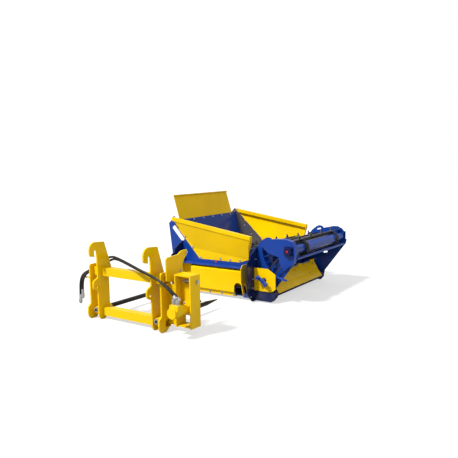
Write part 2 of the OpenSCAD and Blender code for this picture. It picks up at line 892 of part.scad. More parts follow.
module conveyor_chains() {
    place() color(STEEL) for (y = [chain_inset, body_w - chain_inset])
        across(y - chain_w / 2, chain_w) difference() {
            loop_outline(sprocket_r + chain_half);
            loop_outline(sprocket_r - chain_half);
        }
}

// Slat with its teeth, lying on the chains: flip puts it on the return run
slat_w = 52;

module slat() {
    translate([-slat_w / 2, plate_t + 12, slat_off]) cube([slat_w, slat_len, slat_t]);
    for (k = [0:3])
        translate([-4, 0, slat_off + slat_t])
            translate([0, body_w / 2 + (k - 1.5) * 280, 0]) rotate([90, 0, 90])
                linear_extrude(8) polygon([[-26, 0], [26, 0], [6, tooth_h], [-6, tooth_h]]);
}

module conveyor_slats() {
    run = line_u(drive_x) - line_u(tail_x);
    count = floor((run - 40) / slat_pitch);
    place() color(STEEL) for (i = [0:count]) {
        on_line(line_u(drive_x) - 6 - i * slat_pitch, 0) slat();
        on_line(line_u(tail_x) + 60 + i * slat_pitch, 0) mirror([0, 0, 1]) slat();
    }
}

// ---- Drive from the dog to the conveyor ----

module drive_chain() {
    half = 5;
    place() color(BLACK) across(wheel_y - 4, 8) difference() {
        belt(half);
        belt(-half);
    }
}

// Outline of a belt round the dog sprocket and the chain wheel
module belt(out) {
    hull() {
        translate([dog_x, dog_h]) circle(dog_radius + out, $fn = 32);
        translate([drive_x, drive_z]) circle(drive_radius + out, $fn = 32);
    }
}

// Shaft with the crossbar claw that the motor coupling turns
module dog_shaft() {
    place() color(BLUE) union() {
        rod_y(shaft_d, -104, 30, dog_x, dog_h);
        translate([dog_x, 0, dog_h]) rotate([0, 35, 0]) {
            translate([-72, -124, -16]) cube([144, 24, 32]);
            translate([-72, -dog_reach, -16]) cube([28, dog_reach - 110, 32]);
            translate([44, -dog_reach, -16]) cube([28, dog_reach - 110, 32]);
        }
    }
}

module dog_sprocket() {
    place() color(STEEL) translate([dog_x, wheel_y, dog_h])
        sprocket_disc(dog_radius - 10, wheel_w, dog_teeth, shaft_d);
}

// ---- Headstock ----

crown_r = 72;
crown_v = -17;
crown_z = 683;
finger_v = -61;
finger_r = 28;
finger_z = 648;
slot_v = -17.5;
slot_z = 662;

module hook_outline() {
    polygon([
        [crown_v - 20, crown_z + 40], [crown_v, crown_z + crown_r], [95, crown_z + crown_r - 8],
        [175, 494], [175, 454], [140, 425], [140, 90], [128, 62], [84, 10], [62, 0], [32, 0],
        [12, 12], [0, 60], [0, lock_h - 45], [-44, lock_h - 24], [-58, lock_h - 10],
        [-58, lock_h + 45], [-48, lock_h + 62], [0, lock_h + 85], [0, crown_z - 10]
    ]);
}

// Openings of the two cross tubes in a plate, in v and Z
module beam_holes() {
    translate([beam_v, upper_z]) square(beam_size);
    translate([beam_v, lower_z]) square(beam_size);
}

// Quick-hitch plate: a slot under the rounded hook and a lock pin hole in the ear
module hook_plate(side) {
    x0 = side * hook_x - stock_t / 2;
    x1 = x0 + stock_t;
    difference() {
        union() {
            along(x0, stock_t) translate([-park_y, 0]) hook_outline();
            rod_x(2 * crown_r, x0, x1, stock_y(crown_v), crown_z);
            block([x0, stock_y(finger_v - finger_r), finger_z],
                [x1, stock_y(finger_v + finger_r), crown_z]);
            rod_x(2 * finger_r, x0, x1, stock_y(finger_v), finger_z);
        }
        along(x0 - 1, stock_t + 2) translate([-park_y, 0]) beam_holes();
        block([x0 - 1, stock_y(slot_v - hook_slot / 2), 580],
            [x1 + 1, stock_y(slot_v + hook_slot / 2), slot_z]);
        rod_x(hook_slot, x0 - 1, x1 + 1, stock_y(slot_v), slot_z);
        rod_x(lock_d, x0 - 1, x1 + 1, stock_y(lock_v), lock_h);
    }
}

module hook_plate_left() {
    place() color(YELLOW) hook_plate(-1);
}

module hook_plate_right() {
    place() color(YELLOW) hook_plate(1);
}

module outer_outline() {
    polygon([
        [15, grip_z], [85, grip_z], [132, 500], [132, 60], [60, 0], [0, 0], [-28, 22],
        [-36, 66], [-31, 118], [outer_front, 150], [outer_front, grip_z - 15]
    ]);
}

module outer_plate(side) {
    along(side * outer_x - stock_t / 2, stock_t) translate([-park_y, 0]) difference() {
        outer_outline();
        beam_holes();
    }
}

module outer_plate_left() {
    place() color(YELLOW) union() {
        outer_plate(-1);
        // Bar that carries the hoses
        block([-outer_x - 106, stock_y(-4), holder_z],
            [-outer_x - stock_t / 2, stock_y(18), holder_z + 10]);
        block([-outer_x - 106, stock_y(-4), holder_z],
            [-outer_x - 98, stock_y(18), holder_z + 34]);
    }
}

module outer_plate_right() {
    place() color(YELLOW) outer_plate(1);
}

module beam(z) {
    difference() {
        block([-outer_x - stock_t / 2, beam_y, z],
            [outer_x + stock_t / 2, beam_y + beam_size, z + beam_size]);
        block([-outer_x - stock_t, beam_y + beam_wall, z + beam_wall],
            [outer_x + stock_t, beam_y + beam_size - beam_wall, z + beam_size - beam_wall]);
    }
}

module upper_beam() {
    place() color(YELLOW) beam(upper_z);
}

module lower_beam() {
    place() color(YELLOW) difference() {
        beam(lower_z);
        for (side = [-1, 1])
            rod_y(sleeve_d, beam_y - 10, beam_y + beam_size + 10, side * pocket_x, spear_h);
    }
}

module spear_sleeves() {
    place() color(YELLOW) for (side = [-1, 1]) difference() {
        rod_y(sleeve_d, beam_y - 20, stock_y(sleeve_end), side * pocket_x, spear_h);
        rod_y(spear_d, beam_y - 21, stock_y(sleeve_end) + 1, side * pocket_x, spear_h);
    }
}

module spear(side) {
    translate([side * pocket_x, beam_y - 44, spear_h]) rotate([-90, 0, 0]) {
        cylinder(d = 28, h = 30, $fn = round_fn);
        translate([0, 0, 24]) cylinder(d = spear_d, h = spear_tip - beam_y - 160, $fn = round_fn);
        translate([0, 0, spear_tip - beam_y - 136])
            cylinder(d1 = spear_d, d2 = 12, h = 180, $fn = round_fn);
    }
}

module spears() {
    place() color(BLACK) {
        spear(-1);
        spear(1);
    }
}

module spear_nuts() {
    place() color(SILVER) for (side = [-1, 1]) difference() {
        translate([side * pocket_x, beam_y - 20, spear_h]) rotate([90, 0, 0])
            cylinder(d = 52, h = 20, $fn = 6);
        rod_y(28, beam_y - 50, beam_y - 10, side * pocket_x, spear_h);
    }
}

// ---- Latch ----

latch_bolts = [[273, 684], [190, 533]];

// Shaft of the catch plate, and the two bolts in the plate
module latch_pins() {
    place() color(SILVER) union() {
        rod_x(latch_d, latch_x - latch_t, box_right + 6, stock_y(latch_v), latch_z);
        translate([box_right + 1, stock_y(latch_v), latch_z]) rotate([0, 90, 0])
            cylinder(d = latch_d * 1.7, h = 14, $fn = 6);
        for (p = latch_bolts) {
            rod_x(13, latch_x - latch_t / 2 - 3, latch_x + latch_t / 2 + 3, stock_y(p[0]), p[1]);
            for (x = [latch_x - latch_t / 2 - 8, latch_x + latch_t / 2])
                translate([x, stock_y(p[0]), p[1]]) rotate([0, 90, 0])
                    cylinder(d = 24, h = 8, $fn = 6);
        }
    }
}

// Catch plate on the shaft: a curved back edge that rises to a nose
module latch_plate() {
    place() color(YELLOW) along(latch_x - latch_t / 2, latch_t) translate([-park_y, 0])
        difference() {
            polygon([
                [0, 470], [0, 655], [14, 673], [165, 682], [210, 709], [282, 711], [299, 683],
                [272, 655], [250, 636], [231, 610], [222, 587], [222, 550], [232, 505],
                [205, 455], [138, 444], [110, 438], [82, 444], [60, 455]
            ]);
            translate([latch_v, latch_z]) circle(d = latch_d, $fn = round_fn);
            for (p = latch_bolts) translate(p) circle(d = 13, $fn = round_fn);
        }
}

// ---- Motor ----

// Open box that carries the motor on a mounting plate
module motor_box() {
    place() color(YELLOW) difference() {
        union() {
            for (x = [box_left, box_right - box_t])
                block([x, box_front, box_base], [x + box_t, box_rear, box_top]);
            block([box_left, box_front, box_top - box_t], [box_right, box_rear, box_top]);
            block([box_left, box_front + 20, box_base], [box_right, box_rear, box_base + box_t]);
            // Mounting plate
            block([box_left, motor_front, 170], [box_right, motor_front + box_t, box_top]);
            // Plate that ties the box to the right outer plate
            block([outer_x + stock_t / 2, motor_front, 60],
                [box_left, motor_front + box_t, latch_z - 44]);
        }
        // Window in front of the latch shaft
        block([box_left + 26, motor_front - 1, latch_z - 22],
            [box_right - 26, motor_front + box_t + 1, latch_z + 22]);
        rod_x(latch_d + 2 * running_gap, box_left - 1, box_right + 1, stock_y(latch_v), latch_z);
        rod_y(60, motor_front - 1, motor_front + box_t + 1, dog_x, dog_h);
    }
}

motor_w = 104;
port_x = [-22, 22];
port_y = motor_end + 62;
port_z = dog_h + 62;

module hydraulic_motor() {
    place() color(YELLOW) difference() {
        union() {
            block([dog_x - motor_w / 2, motor_front - 16, dog_h - motor_w / 2],
                [dog_x + motor_w / 2, motor_front, dog_h + motor_w / 2]);
            rod_y(84, motor_end + 96, motor_front - 16, dog_x, dog_h);
            rod_y(100, motor_end + 26, motor_end + 100, dog_x, dog_h);
            rod_y(92, motor_end, motor_end + 26, dog_x, dog_h);
            block([dog_x - 46, motor_end + 30, dog_h], [dog_x + 46, motor_end + 94, port_z]);
        }
        rod_y(26, motor_front - 60, motor_front + 1, dog_x, dog_h);
    }
}

// Shaft of the motor with a two-pin coupling for the drive dog
module motor_coupling() {
    place() color(NAVY) union() {
        rod_y(26 - 2 * running_gap, motor_front - 58, motor_front + 40, dog_x, dog_h);
        rod_y(52, motor_front + 14, motor_front + 70, dog_x, dog_h);
        translate([dog_x, 0, dog_h]) rotate([0, 35, 0]) for (s = [-1, 1])
            translate([-17, motor_front + 54, s * 44 - 12]) cube([34, 66, 24]);
        translate([dog_x, 0, dog_h]) rotate([0, 35, 0])
            translate([-17, motor_front + 54, -56]) cube([34, 16, 112]);
    }
}

// ---- Hoses ----

function bend_point(p, q, r, s, t) = 0.5 * (
    2 * q + (r - p) * t + (2 * p - 5 * q + 4 * r - s) * t * t + (3 * q - p - 3 * r + s) * t * t * t
);

// Smooth line through the route's points, with one more point between each two
function smooth_route(p) = let (n = len(p) - 1) concat(
    [for (i = [0:n - 1], t = [0, 0.5])
        bend_point(p[max(i - 1, 0)], p[i], p[i + 1], p[min(i + 2, n)], t)],
    [p[n]]
);

function ring(p, i, r) =
    let (
        last = len(p) - 1,
        way = unit(p[min(i + 1, last)] - p[max(i - 1, 0)]),
        flat = unit(cross(way, [0.2, 1, 0.1])),
        up = cross(flat, way)
    )
    [for (k = [0:hose_sides - 1])
        p[i] + r * (cos(360 * k / hose_sides) * flat + sin(360 * k / hose_sides) * up)];

hose_sides = 10;

module hose(route) {
    p = smooth_route(route);
    rings = len(p);
    n = hose_sides;
    polyhedron(
        points = [for (i = [0:rings - 1]) each ring(p, i, hose_d / 2)],
        faces = concat(
            [[for (k = [0:n - 1]) k]],
            [for (i = [0:rings - 2], k = [0:n - 1])
                [i * n + k, (i + 1) * n + k, (i + 1) * n + (k + 1) % n, i * n + (k + 1) % n]],
            [[for (k = [n - 1:-1:0]) (rings - 1) * n + k]]
        )
    );
}

module pressure_hose() {
    place() color(BLACK) hose(pressure_route);
}

module return_hose() {
    place() color(BLACK) hose(return_route);
}

// A cylinder from a to b
module bar(a, b, d) {
    v = b - a;
    translate(a) rotate([0, acos(v[2] / norm(v)), atan2(v[1], v[0])])
        cylinder(d = d, h = norm(v), $fn = round_fn);
}

// Elbow fitting and crimped ferrule between a motor port and the start of a hose
module fitting(route, x) {
    line = smooth_route(route);
    start = line[0];
    way = unit(start - line[1]);
    knee = [dog_x + x, port_y, port_z + 34];
    ferrule = start + way * 34;
    bar([dog_x + x, port_y, port_z], knee, 24);
    translate(knee - [0, 0, 15]) cylinder(d = 34, h = 30, $fn = 6);
    bar(knee, ferrule - way * 6, 20);
    bar(start, ferrule, 28);
    translate([dog_x + x, port_y, port_z]) cylinder(d = 36, h = 14, $fn = 6);
}

module hose_fittings() {
    place() color(SILVER) {
        fitting(pressure_route, port_x[0]);
        fitting(return_route, port_x[1]);
    }
}

// Quick coupler on the loose end of a hose
module coupler(route) {
    line = smooth_route(route);
    last = len(line) - 1;
    foot = line[last];
    way = unit(foot - line[last - 1]);
    bar(foot, foot + way * 34, 28);
    bar(foot + way * 34, foot + way * 62, 34);
    bar(foot + way * 62, foot + way * 88, 24);
}

module hose_couplers() {
    place() color(SILVER) {
        coupler(pressure_route);
        coupler(return_route);
    }
}

side_plate_front();
side_plate_rear();
hopper_end_wall();
conveyor_bed();
hopper_panel_front();
hopper_panel_rear();
backboard();
hopper_bolts();
pocket_tube_left();
pocket_tube_right();
base_plate();
front_guard();
frame_bolts();
front_ledge();
pocket_brackets();
post_left();
post_right();
dog_guard();
chain_case();
drive_bearings();
idler_bearings();
grease_caps();
outlet_tube();
front_skid();
cross_members();
chain_tensioner();
flap_rod();
deflector_flap();
flap_bolts();
drive_shaft();
drive_sprockets();
end_drum();
chain_wheel();
middle_shaft();
middle_rollers();
tail_shaft();
tail_rollers();
conveyor_chains();
conveyor_slats();
drive_chain();
dog_shaft();
dog_sprocket();
hook_plate_left();
hook_plate_right();
outer_plate_left();
outer_plate_right();
upper_beam();
lower_beam();
spear_sleeves();
spears();
spear_nuts();
latch_pins();
latch_plate();
motor_box();
hydraulic_motor();
motor_coupling();
hose_fittings();
pressure_hose();
return_hose();
hose_couplers();
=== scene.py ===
"""Looks of a round-bale unroller and its headstock: finishes, hoses, chains, welds, hardware."""

import json
import math

import bmesh
import bpy
from mathutils import Matrix, Vector


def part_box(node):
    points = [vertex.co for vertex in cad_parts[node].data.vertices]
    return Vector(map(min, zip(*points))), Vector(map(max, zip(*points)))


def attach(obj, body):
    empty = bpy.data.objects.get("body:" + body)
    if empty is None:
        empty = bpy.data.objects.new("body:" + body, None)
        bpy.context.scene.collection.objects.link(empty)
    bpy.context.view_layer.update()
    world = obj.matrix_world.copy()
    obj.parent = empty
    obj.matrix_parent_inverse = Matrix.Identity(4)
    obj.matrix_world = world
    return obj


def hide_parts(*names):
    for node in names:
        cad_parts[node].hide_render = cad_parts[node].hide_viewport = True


bl_info = {
    "name": "Bale unroller looks",
    "version": (1, 0, 0),
    "blender": (4, 5, 0),
    "location": "View3D > Sidebar > Unroller",
    "description": "Builds the hoses, chains, welds, hardware, finishes and stage of the unroller",
    "category": "Object",
}

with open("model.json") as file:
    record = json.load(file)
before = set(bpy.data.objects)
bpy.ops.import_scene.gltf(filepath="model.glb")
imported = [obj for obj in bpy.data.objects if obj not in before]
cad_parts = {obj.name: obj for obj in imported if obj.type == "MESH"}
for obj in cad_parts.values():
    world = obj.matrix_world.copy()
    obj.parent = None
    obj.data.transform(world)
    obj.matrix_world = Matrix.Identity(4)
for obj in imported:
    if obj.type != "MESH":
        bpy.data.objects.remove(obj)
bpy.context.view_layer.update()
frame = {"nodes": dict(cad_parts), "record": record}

# ---- Places taken from the frame ----


def middle(node):
    """The middle of a CAD node's box."""
    low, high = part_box(node)
    return (low + high) / 2


# The machine's own zero: midway between the hook plates, on the front side plate's outer face
ORIGIN = Vector((
    (middle("hook_plate_left").x + middle("hook_plate_right").x) / 2,
    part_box("front_ledge")[1].y,
    0,
))
DRIVE = middle("drive_shaft")
TAIL = middle("tail_shaft")
DOG = middle("dog_sprocket")
WHEEL = middle("chain_wheel")
RISE = math.atan2(DRIVE.z - TAIL.z, DRIVE.x - TAIL.x)
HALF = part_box("tail_rollers")[1].y - TAIL.y - 0.02
CHAIN_YS = (TAIL.y - HALF, TAIL.y + HALF)


def place(x, y, z):
    """A point given from the machine's zero, in the row frame."""
    return ORIGIN + Vector((x, y, z))


# Hose routes from the motor fitting to the coupler, from the machine's zero, in metres
PRESSURE_ROUTE = (
    (0.652, -1.505, 0.370), (0.610, -1.503, 0.405), (0.545, -1.500, 0.448),
    (0.480, -1.497, 0.480), (0.410, -1.492, 0.507), (0.310, -1.482, 0.532),
    (0.210, -1.468, 0.553), (0.110, -1.445, 0.572), (0.010, -1.415, 0.586),
    (-0.090, -1.378, 0.595), (-0.190, -1.335, 0.598), (-0.290, -1.288, 0.592),
    (-0.380, -1.264, 0.572), (-0.450, -1.280, 0.540), (-0.500, -1.320, 0.500),
    (-0.518, -1.360, 0.466), (-0.526, -1.398, 0.447), (-0.529, -1.434, 0.435),
    (-0.531, -1.465, 0.409), (-0.532, -1.482, 0.372), (-0.533, -1.489, 0.327),
    (-0.533, -1.492, 0.282), (-0.533, -1.493, 0.237),
)
RETURN_ROUTE = (
    (0.668, -1.477, 0.352), (0.625, -1.475, 0.385), (0.560, -1.473, 0.427),
    (0.490, -1.470, 0.460), (0.415, -1.466, 0.486), (0.310, -1.456, 0.512),
    (0.210, -1.442, 0.532), (0.110, -1.420, 0.550), (0.010, -1.391, 0.564),
    (-0.090, -1.355, 0.573), (-0.190, -1.313, 0.575), (-0.290, -1.268, 0.567),
    (-0.370, -1.240, 0.545), (-0.430, -1.255, 0.520), (-0.470, -1.292, 0.490),
    (-0.487, -1.345, 0.462), (-0.494, -1.397, 0.446), (-0.497, -1.434, 0.435),
    (-0.499, -1.465, 0.409), (-0.500, -1.482, 0.372), (-0.500, -1.489, 0.330),
    (-0.500, -1.491, 0.290),
)
PRESSURE_LENGTH = 1.63
RETURN_LENGTH = 1.57

# ---- Settings a user would change ----


def number(name, text, default, unit="LENGTH"):
    return bpy.props.FloatProperty(
        name=name, description=text, default=default, unit=unit, precision=4
    )


def colour(name, text, default):
    return bpy.props.FloatVectorProperty(
        name=name, description=text, default=default, size=3, subtype="COLOR", min=0, max=1
    )


class UNROLLER_PG_finish(bpy.types.PropertyGroup):
    """Colours of the paints and metals."""

    yellow: colour("Yellow", "Paint of the panels and the headstock", (0.78, 0.49, 0.0))
    blue: colour("Blue", "Paint of the frame", (0.004, 0.04, 0.26))
    # Painted shade: a darkened copy of the frame blue for the posts, bearings, their bolts and the
    # frame welds.
    shaded_blue: colour("Shaded blue", "Paint of the posts and bearings", (0.002, 0.008, 0.06))
    black: colour("Black", "Paint of the spears and rollers", (0.008, 0.008, 0.009))
    steel: colour("Steel", "Bare steel of the slats and the bed", (0.22, 0.2, 0.19))
    zinc: colour("Zinc", "Plated bolts and fittings", (0.62, 0.63, 0.65))
    red: colour("Red", "Grease caps", (0.7, 0.01, 0.01))
    dust: colour("Dust", "Dry dust on upward faces", (0.42, 0.37, 0.28))


class UNROLLER_PG_detail(bpy.types.PropertyGroup):
    """Sizes of the small pieces."""

    hose_d: number("Hose diameter", "Outside diameter of both hoses", 0.022)
    chain_pitch: number("Conveyor chain pitch", "Distance between a conveyor chain's pins", 0.05)
    drive_pitch: number("Drive chain pitch", "Distance between the drive chain's pins", 0.01905)
    weld_w: number("Weld width", "Width of a weld bead", 0.007)
    weld_step: number("Weld step", "Distance between two ripples of a weld bead", 0.006)
    washer_t: number("Washer thickness", "Thickness of the flat washers", 0.002)


class UNROLLER_PG_stage(bpy.types.PropertyGroup):
    """Camera, floor and lights."""

    lens: number("Lens", "Focal length in millimetres", 41.9, "NONE")
    floor_size: number("Floor size", "Side of the square floor", 90.0)
    floor: colour("Floor", "Colour of the floor", (0.32, 0.32, 0.32))
    floor_glow: number("Floor glow", "Even light that keeps the floor's shadows soft", 0.58, "NONE")
    key: number("Key light", "Strength of the sun-like key light", 5.0, "NONE")
    sky: number("Sky light", "Strength of the even light from all round", 0.5, "NONE")


# ---- Mesh helpers ----

HEAD_RATIO = 0.95  # radius across a bolt head's corners, from the bolt's diameter
WASHER_RATIO = 1.32  # radius of a washer, from the radius of the head
CHAMFER_RATIO = 0.84  # radius of a head's chamfered top, from the radius of the head
SHARP_ANGLE = 38  # edges above this many degrees stay sharp


def finished(bm, name, body, materials, replaces=()):
    """Turns a bmesh in the row frame into a piece that rides on a body."""
    mesh = bpy.data.meshes.new(name)
    bmesh.ops.recalc_face_normals(bm, faces=bm.faces)
    bm.to_mesh(mesh)
    bm.free()
    mesh.set_sharp_from_angle(angle=math.radians(SHARP_ANGLE))
    piece = bpy.data.objects.new(name, mesh)
    bpy.context.scene.collection.objects.link(piece)
    for m in materials:
        mesh.materials.append(material(m))
    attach(piece, body)
    if replaces:
        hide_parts(*replaces)
    return piece


def stamp(bm, part, matrix):
    """Adds a copy of another bmesh, moved by the matrix."""
    mesh = bpy.data.meshes.new("stamp")
    part.to_mesh(mesh)
    mesh.transform(matrix)
    bm.from_mesh(mesh)
    bpy.data.meshes.remove(mesh)


def facing(point, direction):
    """A matrix that puts local Z along the direction, with its zero at the point."""
    return Matrix.Translation(point) @ direction.to_track_quat("Z", "Y").to_matrix().to_4x4()


def rod(bm, a, b, r0, r1=None, sides=24):
    """A cylinder or cone from a to b."""
    r1 = r0 if r1 is None else r1
    length = (b - a).length
    bmesh.ops.create_cone(
        bm, cap_ends=True, segments=sides, radius1=r0, radius2=r1, depth=length,
        matrix=facing(a, b - a) @ Matrix.Translation((0, 0, length / 2)),
    )


def bevelled(bm, edges, width, steps=2):
    """Rounds the edges."""
    bmesh.ops.bevel(
        bm, geom=edges, offset=width, segments=steps, profile=0.5,
        affect="EDGES", material=-1, clamp_overlap=True,
    )


def bolt_part(size, head, washer=0.0):
    """A hexagon head on local Z, with a chamfered top and a flat washer under it."""
    bm = bmesh.new()
    r = size * HEAD_RATIO
    if washer:
        rod(bm, Vector((0, 0, 0)), Vector((0, 0, washer)), r * WASHER_RATIO, sides=20)
    shoulder = Vector((0, 0, washer + head * 0.86))
    rod(bm, Vector((0, 0, washer)), shoulder, r, sides=6)
    rod(bm, shoulder, Vector((0, 0, washer + head)), r, r * CHAMFER_RATIO, sides=6)
    return bm


def islands(node):
    """The boxes of a CAD node's separate solids, as pairs of corners."""
    bm = bmesh.new()
    bm.from_mesh(frame["nodes"][node].data)
    bmesh.ops.remove_doubles(bm, verts=bm.verts, dist=1e-5)
    left = set(bm.verts)
    boxes = []
    while left:
        reached = [left.pop()]
        found = []
        while reached:
            v = reached.pop()
            found.append(v.co.copy())
            for e in v.link_edges:
                w = e.other_vert(v)
                if w in left:
                    left.discard(w)
                    reached.append(w)
        boxes.append((
            Vector(min(c[i] for c in found) for i in range(3)),
            Vector(max(c[i] for c in found) for i in range(3)),
        ))
    bm.free()
    return sorted(boxes, key=lambda b: tuple(round(v, 4) for v in b[0]))


# ---- Shader helpers ----


def connect(tree, socket, value):
    """Sets a socket to a value, or links another node's output to it."""
    if isinstance(value, bpy.types.NodeSocket):
        tree.links.new(value, socket)
    else:
        socket.default_value = value


def add(tree, kind, inputs=None, **props):
    """A node with its settings. An input takes a number, a colour or another node's output."""
    node = tree.nodes.new(kind)
    for key, value in props.items():
        setattr(node, key, value)
    for key, value in (inputs or {}).items():
        connect(tree, node.inputs[key], value)
    return node


def sums(tree, operation, *values, clamp=False):
    """A Math node's output."""
    return add(
        tree, "ShaderNodeMath", dict(enumerate(values)), operation=operation, use_clamp=clamp
    ).outputs[0]


def ramp(tree, value, low, high):
    """0 below low, 1 above high, smooth in between."""
    return add(
        tree, "ShaderNodeMapRange",
        {"Value": value, "From Min": low, "From Max": high}, interpolation_type="SMOOTHSTEP",
    ).outputs["Result"]


def noise(tree, place_out, scale, detail=3.0, rough=0.55):
    """Noise at a place, between 0 and 1."""
    return add(
        tree, "ShaderNodeTexNoise",
        {"Vector": place_out, "Scale": scale, "Detail": detail, "Roughness": rough},
    ).outputs["Fac"]


def stretched(tree, place_out, x, y, z):
    """The place, scaled by x, y and z."""
    return add(
        tree, "ShaderNodeMapping", {"Vector": place_out, "Scale": (x, y, z)}
    ).outputs["Vector"]


def group(name, ins, outs, build):
    """A shader node group, built once. ins holds (name, default) and outs holds names."""
    found = bpy.data.node_groups.get(name)
    if found:
        return found
    tree = bpy.data.node_groups.new(name, "ShaderNodeTree")
    for title, default in ins:
        kind = "NodeSocketVector" if isinstance(default, tuple) else "NodeSocketFloat"
        socket = tree.interface.new_socket(title, in_out="INPUT", socket_type=kind)
        socket.default_value = default
    for title in outs:
        tree.interface.new_socket(title, in_out="OUTPUT", socket_type="NodeSocketFloat")
    start = tree.nodes.new("NodeGroupInput")
    end = tree.nodes.new("NodeGroupOutput")
    results = build(tree, start.outputs)
    for title, result in zip(outs, results):
        tree.links.new(result, end.inputs[title])
    return tree


def placed(tree, made, **inputs):
    """A group placed in a material."""
    node = tree.nodes.new("ShaderNodeGroup")
    node.node_tree = made
    for key, value in inputs.items():
        connect(tree, node.inputs[key.replace("_", " ")], value)
    return node.outputs


# ---- Effects shared by the finishes ----

ZERO_PLACE = ("Place", (0.0, 0.0, 0.0))


def painted_edge_highlight():
    """Mask of a painted highlight along the rounded outside edges, broken up by noise."""
    def build(tree, ins):
        soft = add(tree, "ShaderNodeBevel", {"Radius": ins["Width"]}, samples=4).outputs["Normal"]
        flat = add(tree, "ShaderNodeNewGeometry").outputs["Normal"]
        same = add(tree, "ShaderNodeVectorMath", {0: soft, 1: flat}, operation="DOT_PRODUCT")
        bent = sums(tree, "SUBTRACT", 1.0, same.outputs["Value"])
        patchy = noise(tree, ins["Place"], 38.0, 4.0)
        mask = sums(tree, "MULTIPLY", ramp(tree, bent, 0.02, 0.16), ramp(tree, patchy, 0.42, 0.66))
        return [mask, bent]

    return group("Painted edge highlight", [("Width", 0.002), ZERO_PLACE], ["Mask", "Edge"], build)


def dust_film():
    """Mask of dry dust: on faces that look up, near the ground and in a mottled pattern."""
    def build(tree, ins):
        normal = add(tree, "ShaderNodeNewGeometry").outputs["Normal"]
        up = add(tree, "ShaderNodeSeparateXYZ", {0: normal}).outputs["Z"]
        height = add(tree, "ShaderNodeSeparateXYZ", {0: ins["Place"]}).outputs["Z"]
        low = sums(tree, "SUBTRACT", 1.0, ramp(tree, height, 0.0, 0.22))
        top = ramp(tree, up, 0.55, 0.98)
        both = sums(tree, "MAXIMUM", sums(tree, "MULTIPLY", top, 0.5), low)
        mottle = ramp(tree, noise(tree, ins["Place"], 7.0, 6.0, 0.68), 0.4, 0.72)
        dusty = sums(tree, "MULTIPLY", both, mottle)
        return [sums(tree, "MULTIPLY", dusty, ins["Amount"], clamp=True)]

    return group("Dust film", [("Amount", 0.3), ZERO_PLACE], ["Mask"], build)


def paint_skin():
    """Height of sprayed paint: fine orange peel over a slow waviness of the sheet."""
    def build(tree, ins):
        peel = noise(tree, ins["Place"], 420.0, 2.0)
        wave = noise(tree, ins["Place"], 3.5, 2.0)
        slow = sums(tree, "MULTIPLY", wave, ins["Waviness"])
        return [sums(tree, "ADD", sums(tree, "MULTIPLY", peel, ins["Peel"]), slow)]

    return group("Paint skin", [("Peel", 0.12), ("Waviness", 1.0), ZERO_PLACE], ["Height"], build)


def scuffs():
    """Mask of fine scratches in two directions, gathered in patches."""
    def build(tree, ins):
        one = noise(tree, stretched(tree, ins["Place"], 9.0, 150.0, 120.0), 2.0, 3.0)
        two = noise(tree, stretched(tree, ins["Place"], 130.0, 11.0, 90.0), 2.0, 3.0)
        lines = sums(tree, "MAXIMUM", ramp(tree, one, 0.66, 0.72), ramp(tree, two, 0.68, 0.74))
        patch = ramp(tree, noise(tree, ins["Place"], 5.0, 3.0), 0.5, 0.68)
        scratched = sums(tree, "MULTIPLY", lines, patch)
        return [sums(tree, "MULTIPLY", scratched, ins["Amount"], clamp=True)]

    return group("Scuffs", [("Amount", 0.5), ZERO_PLACE], ["Mask"], build)


def mixed(tree, mask, a, b):
    """Colour a where the mask is 0 and b where it is 1."""
    node = add(tree, "ShaderNodeMix", {"Factor": mask}, data_type="RGBA")
    first, second, result = node.inputs[6], node.inputs[7], node.outputs[2]
    for socket, value in ((first, a), (second, b)):
        connect(tree, socket, value if isinstance(value, bpy.types.NodeSocket) else (*value, 1.0))
    return result


def new_material(name):
    """An empty material with its shader and the object's own coordinates."""
    made = bpy.data.materials.new(name)
    made.use_nodes = True
    tree = made.node_tree
    shader = tree.nodes["Principled BSDF"]
    here = add(tree, "ShaderNodeTexCoord").outputs["Object"]
    return made, tree, shader, here


def set_shader(tree, shader, **inputs):
    """Sets the shader's inputs to values or to outputs of other nodes."""
    for key, value in inputs.items():
        connect(tree, shader.inputs[key.replace("_", " ")], value)


def bump(tree, height, distance, strength=0.6):
    """The normal of a surface with this height."""
    return add(
        tree, "ShaderNodeBump", {"Height": height, "Distance": distance, "Strength": strength}
    ).outputs["Normal"]


# ---- Finishes ----


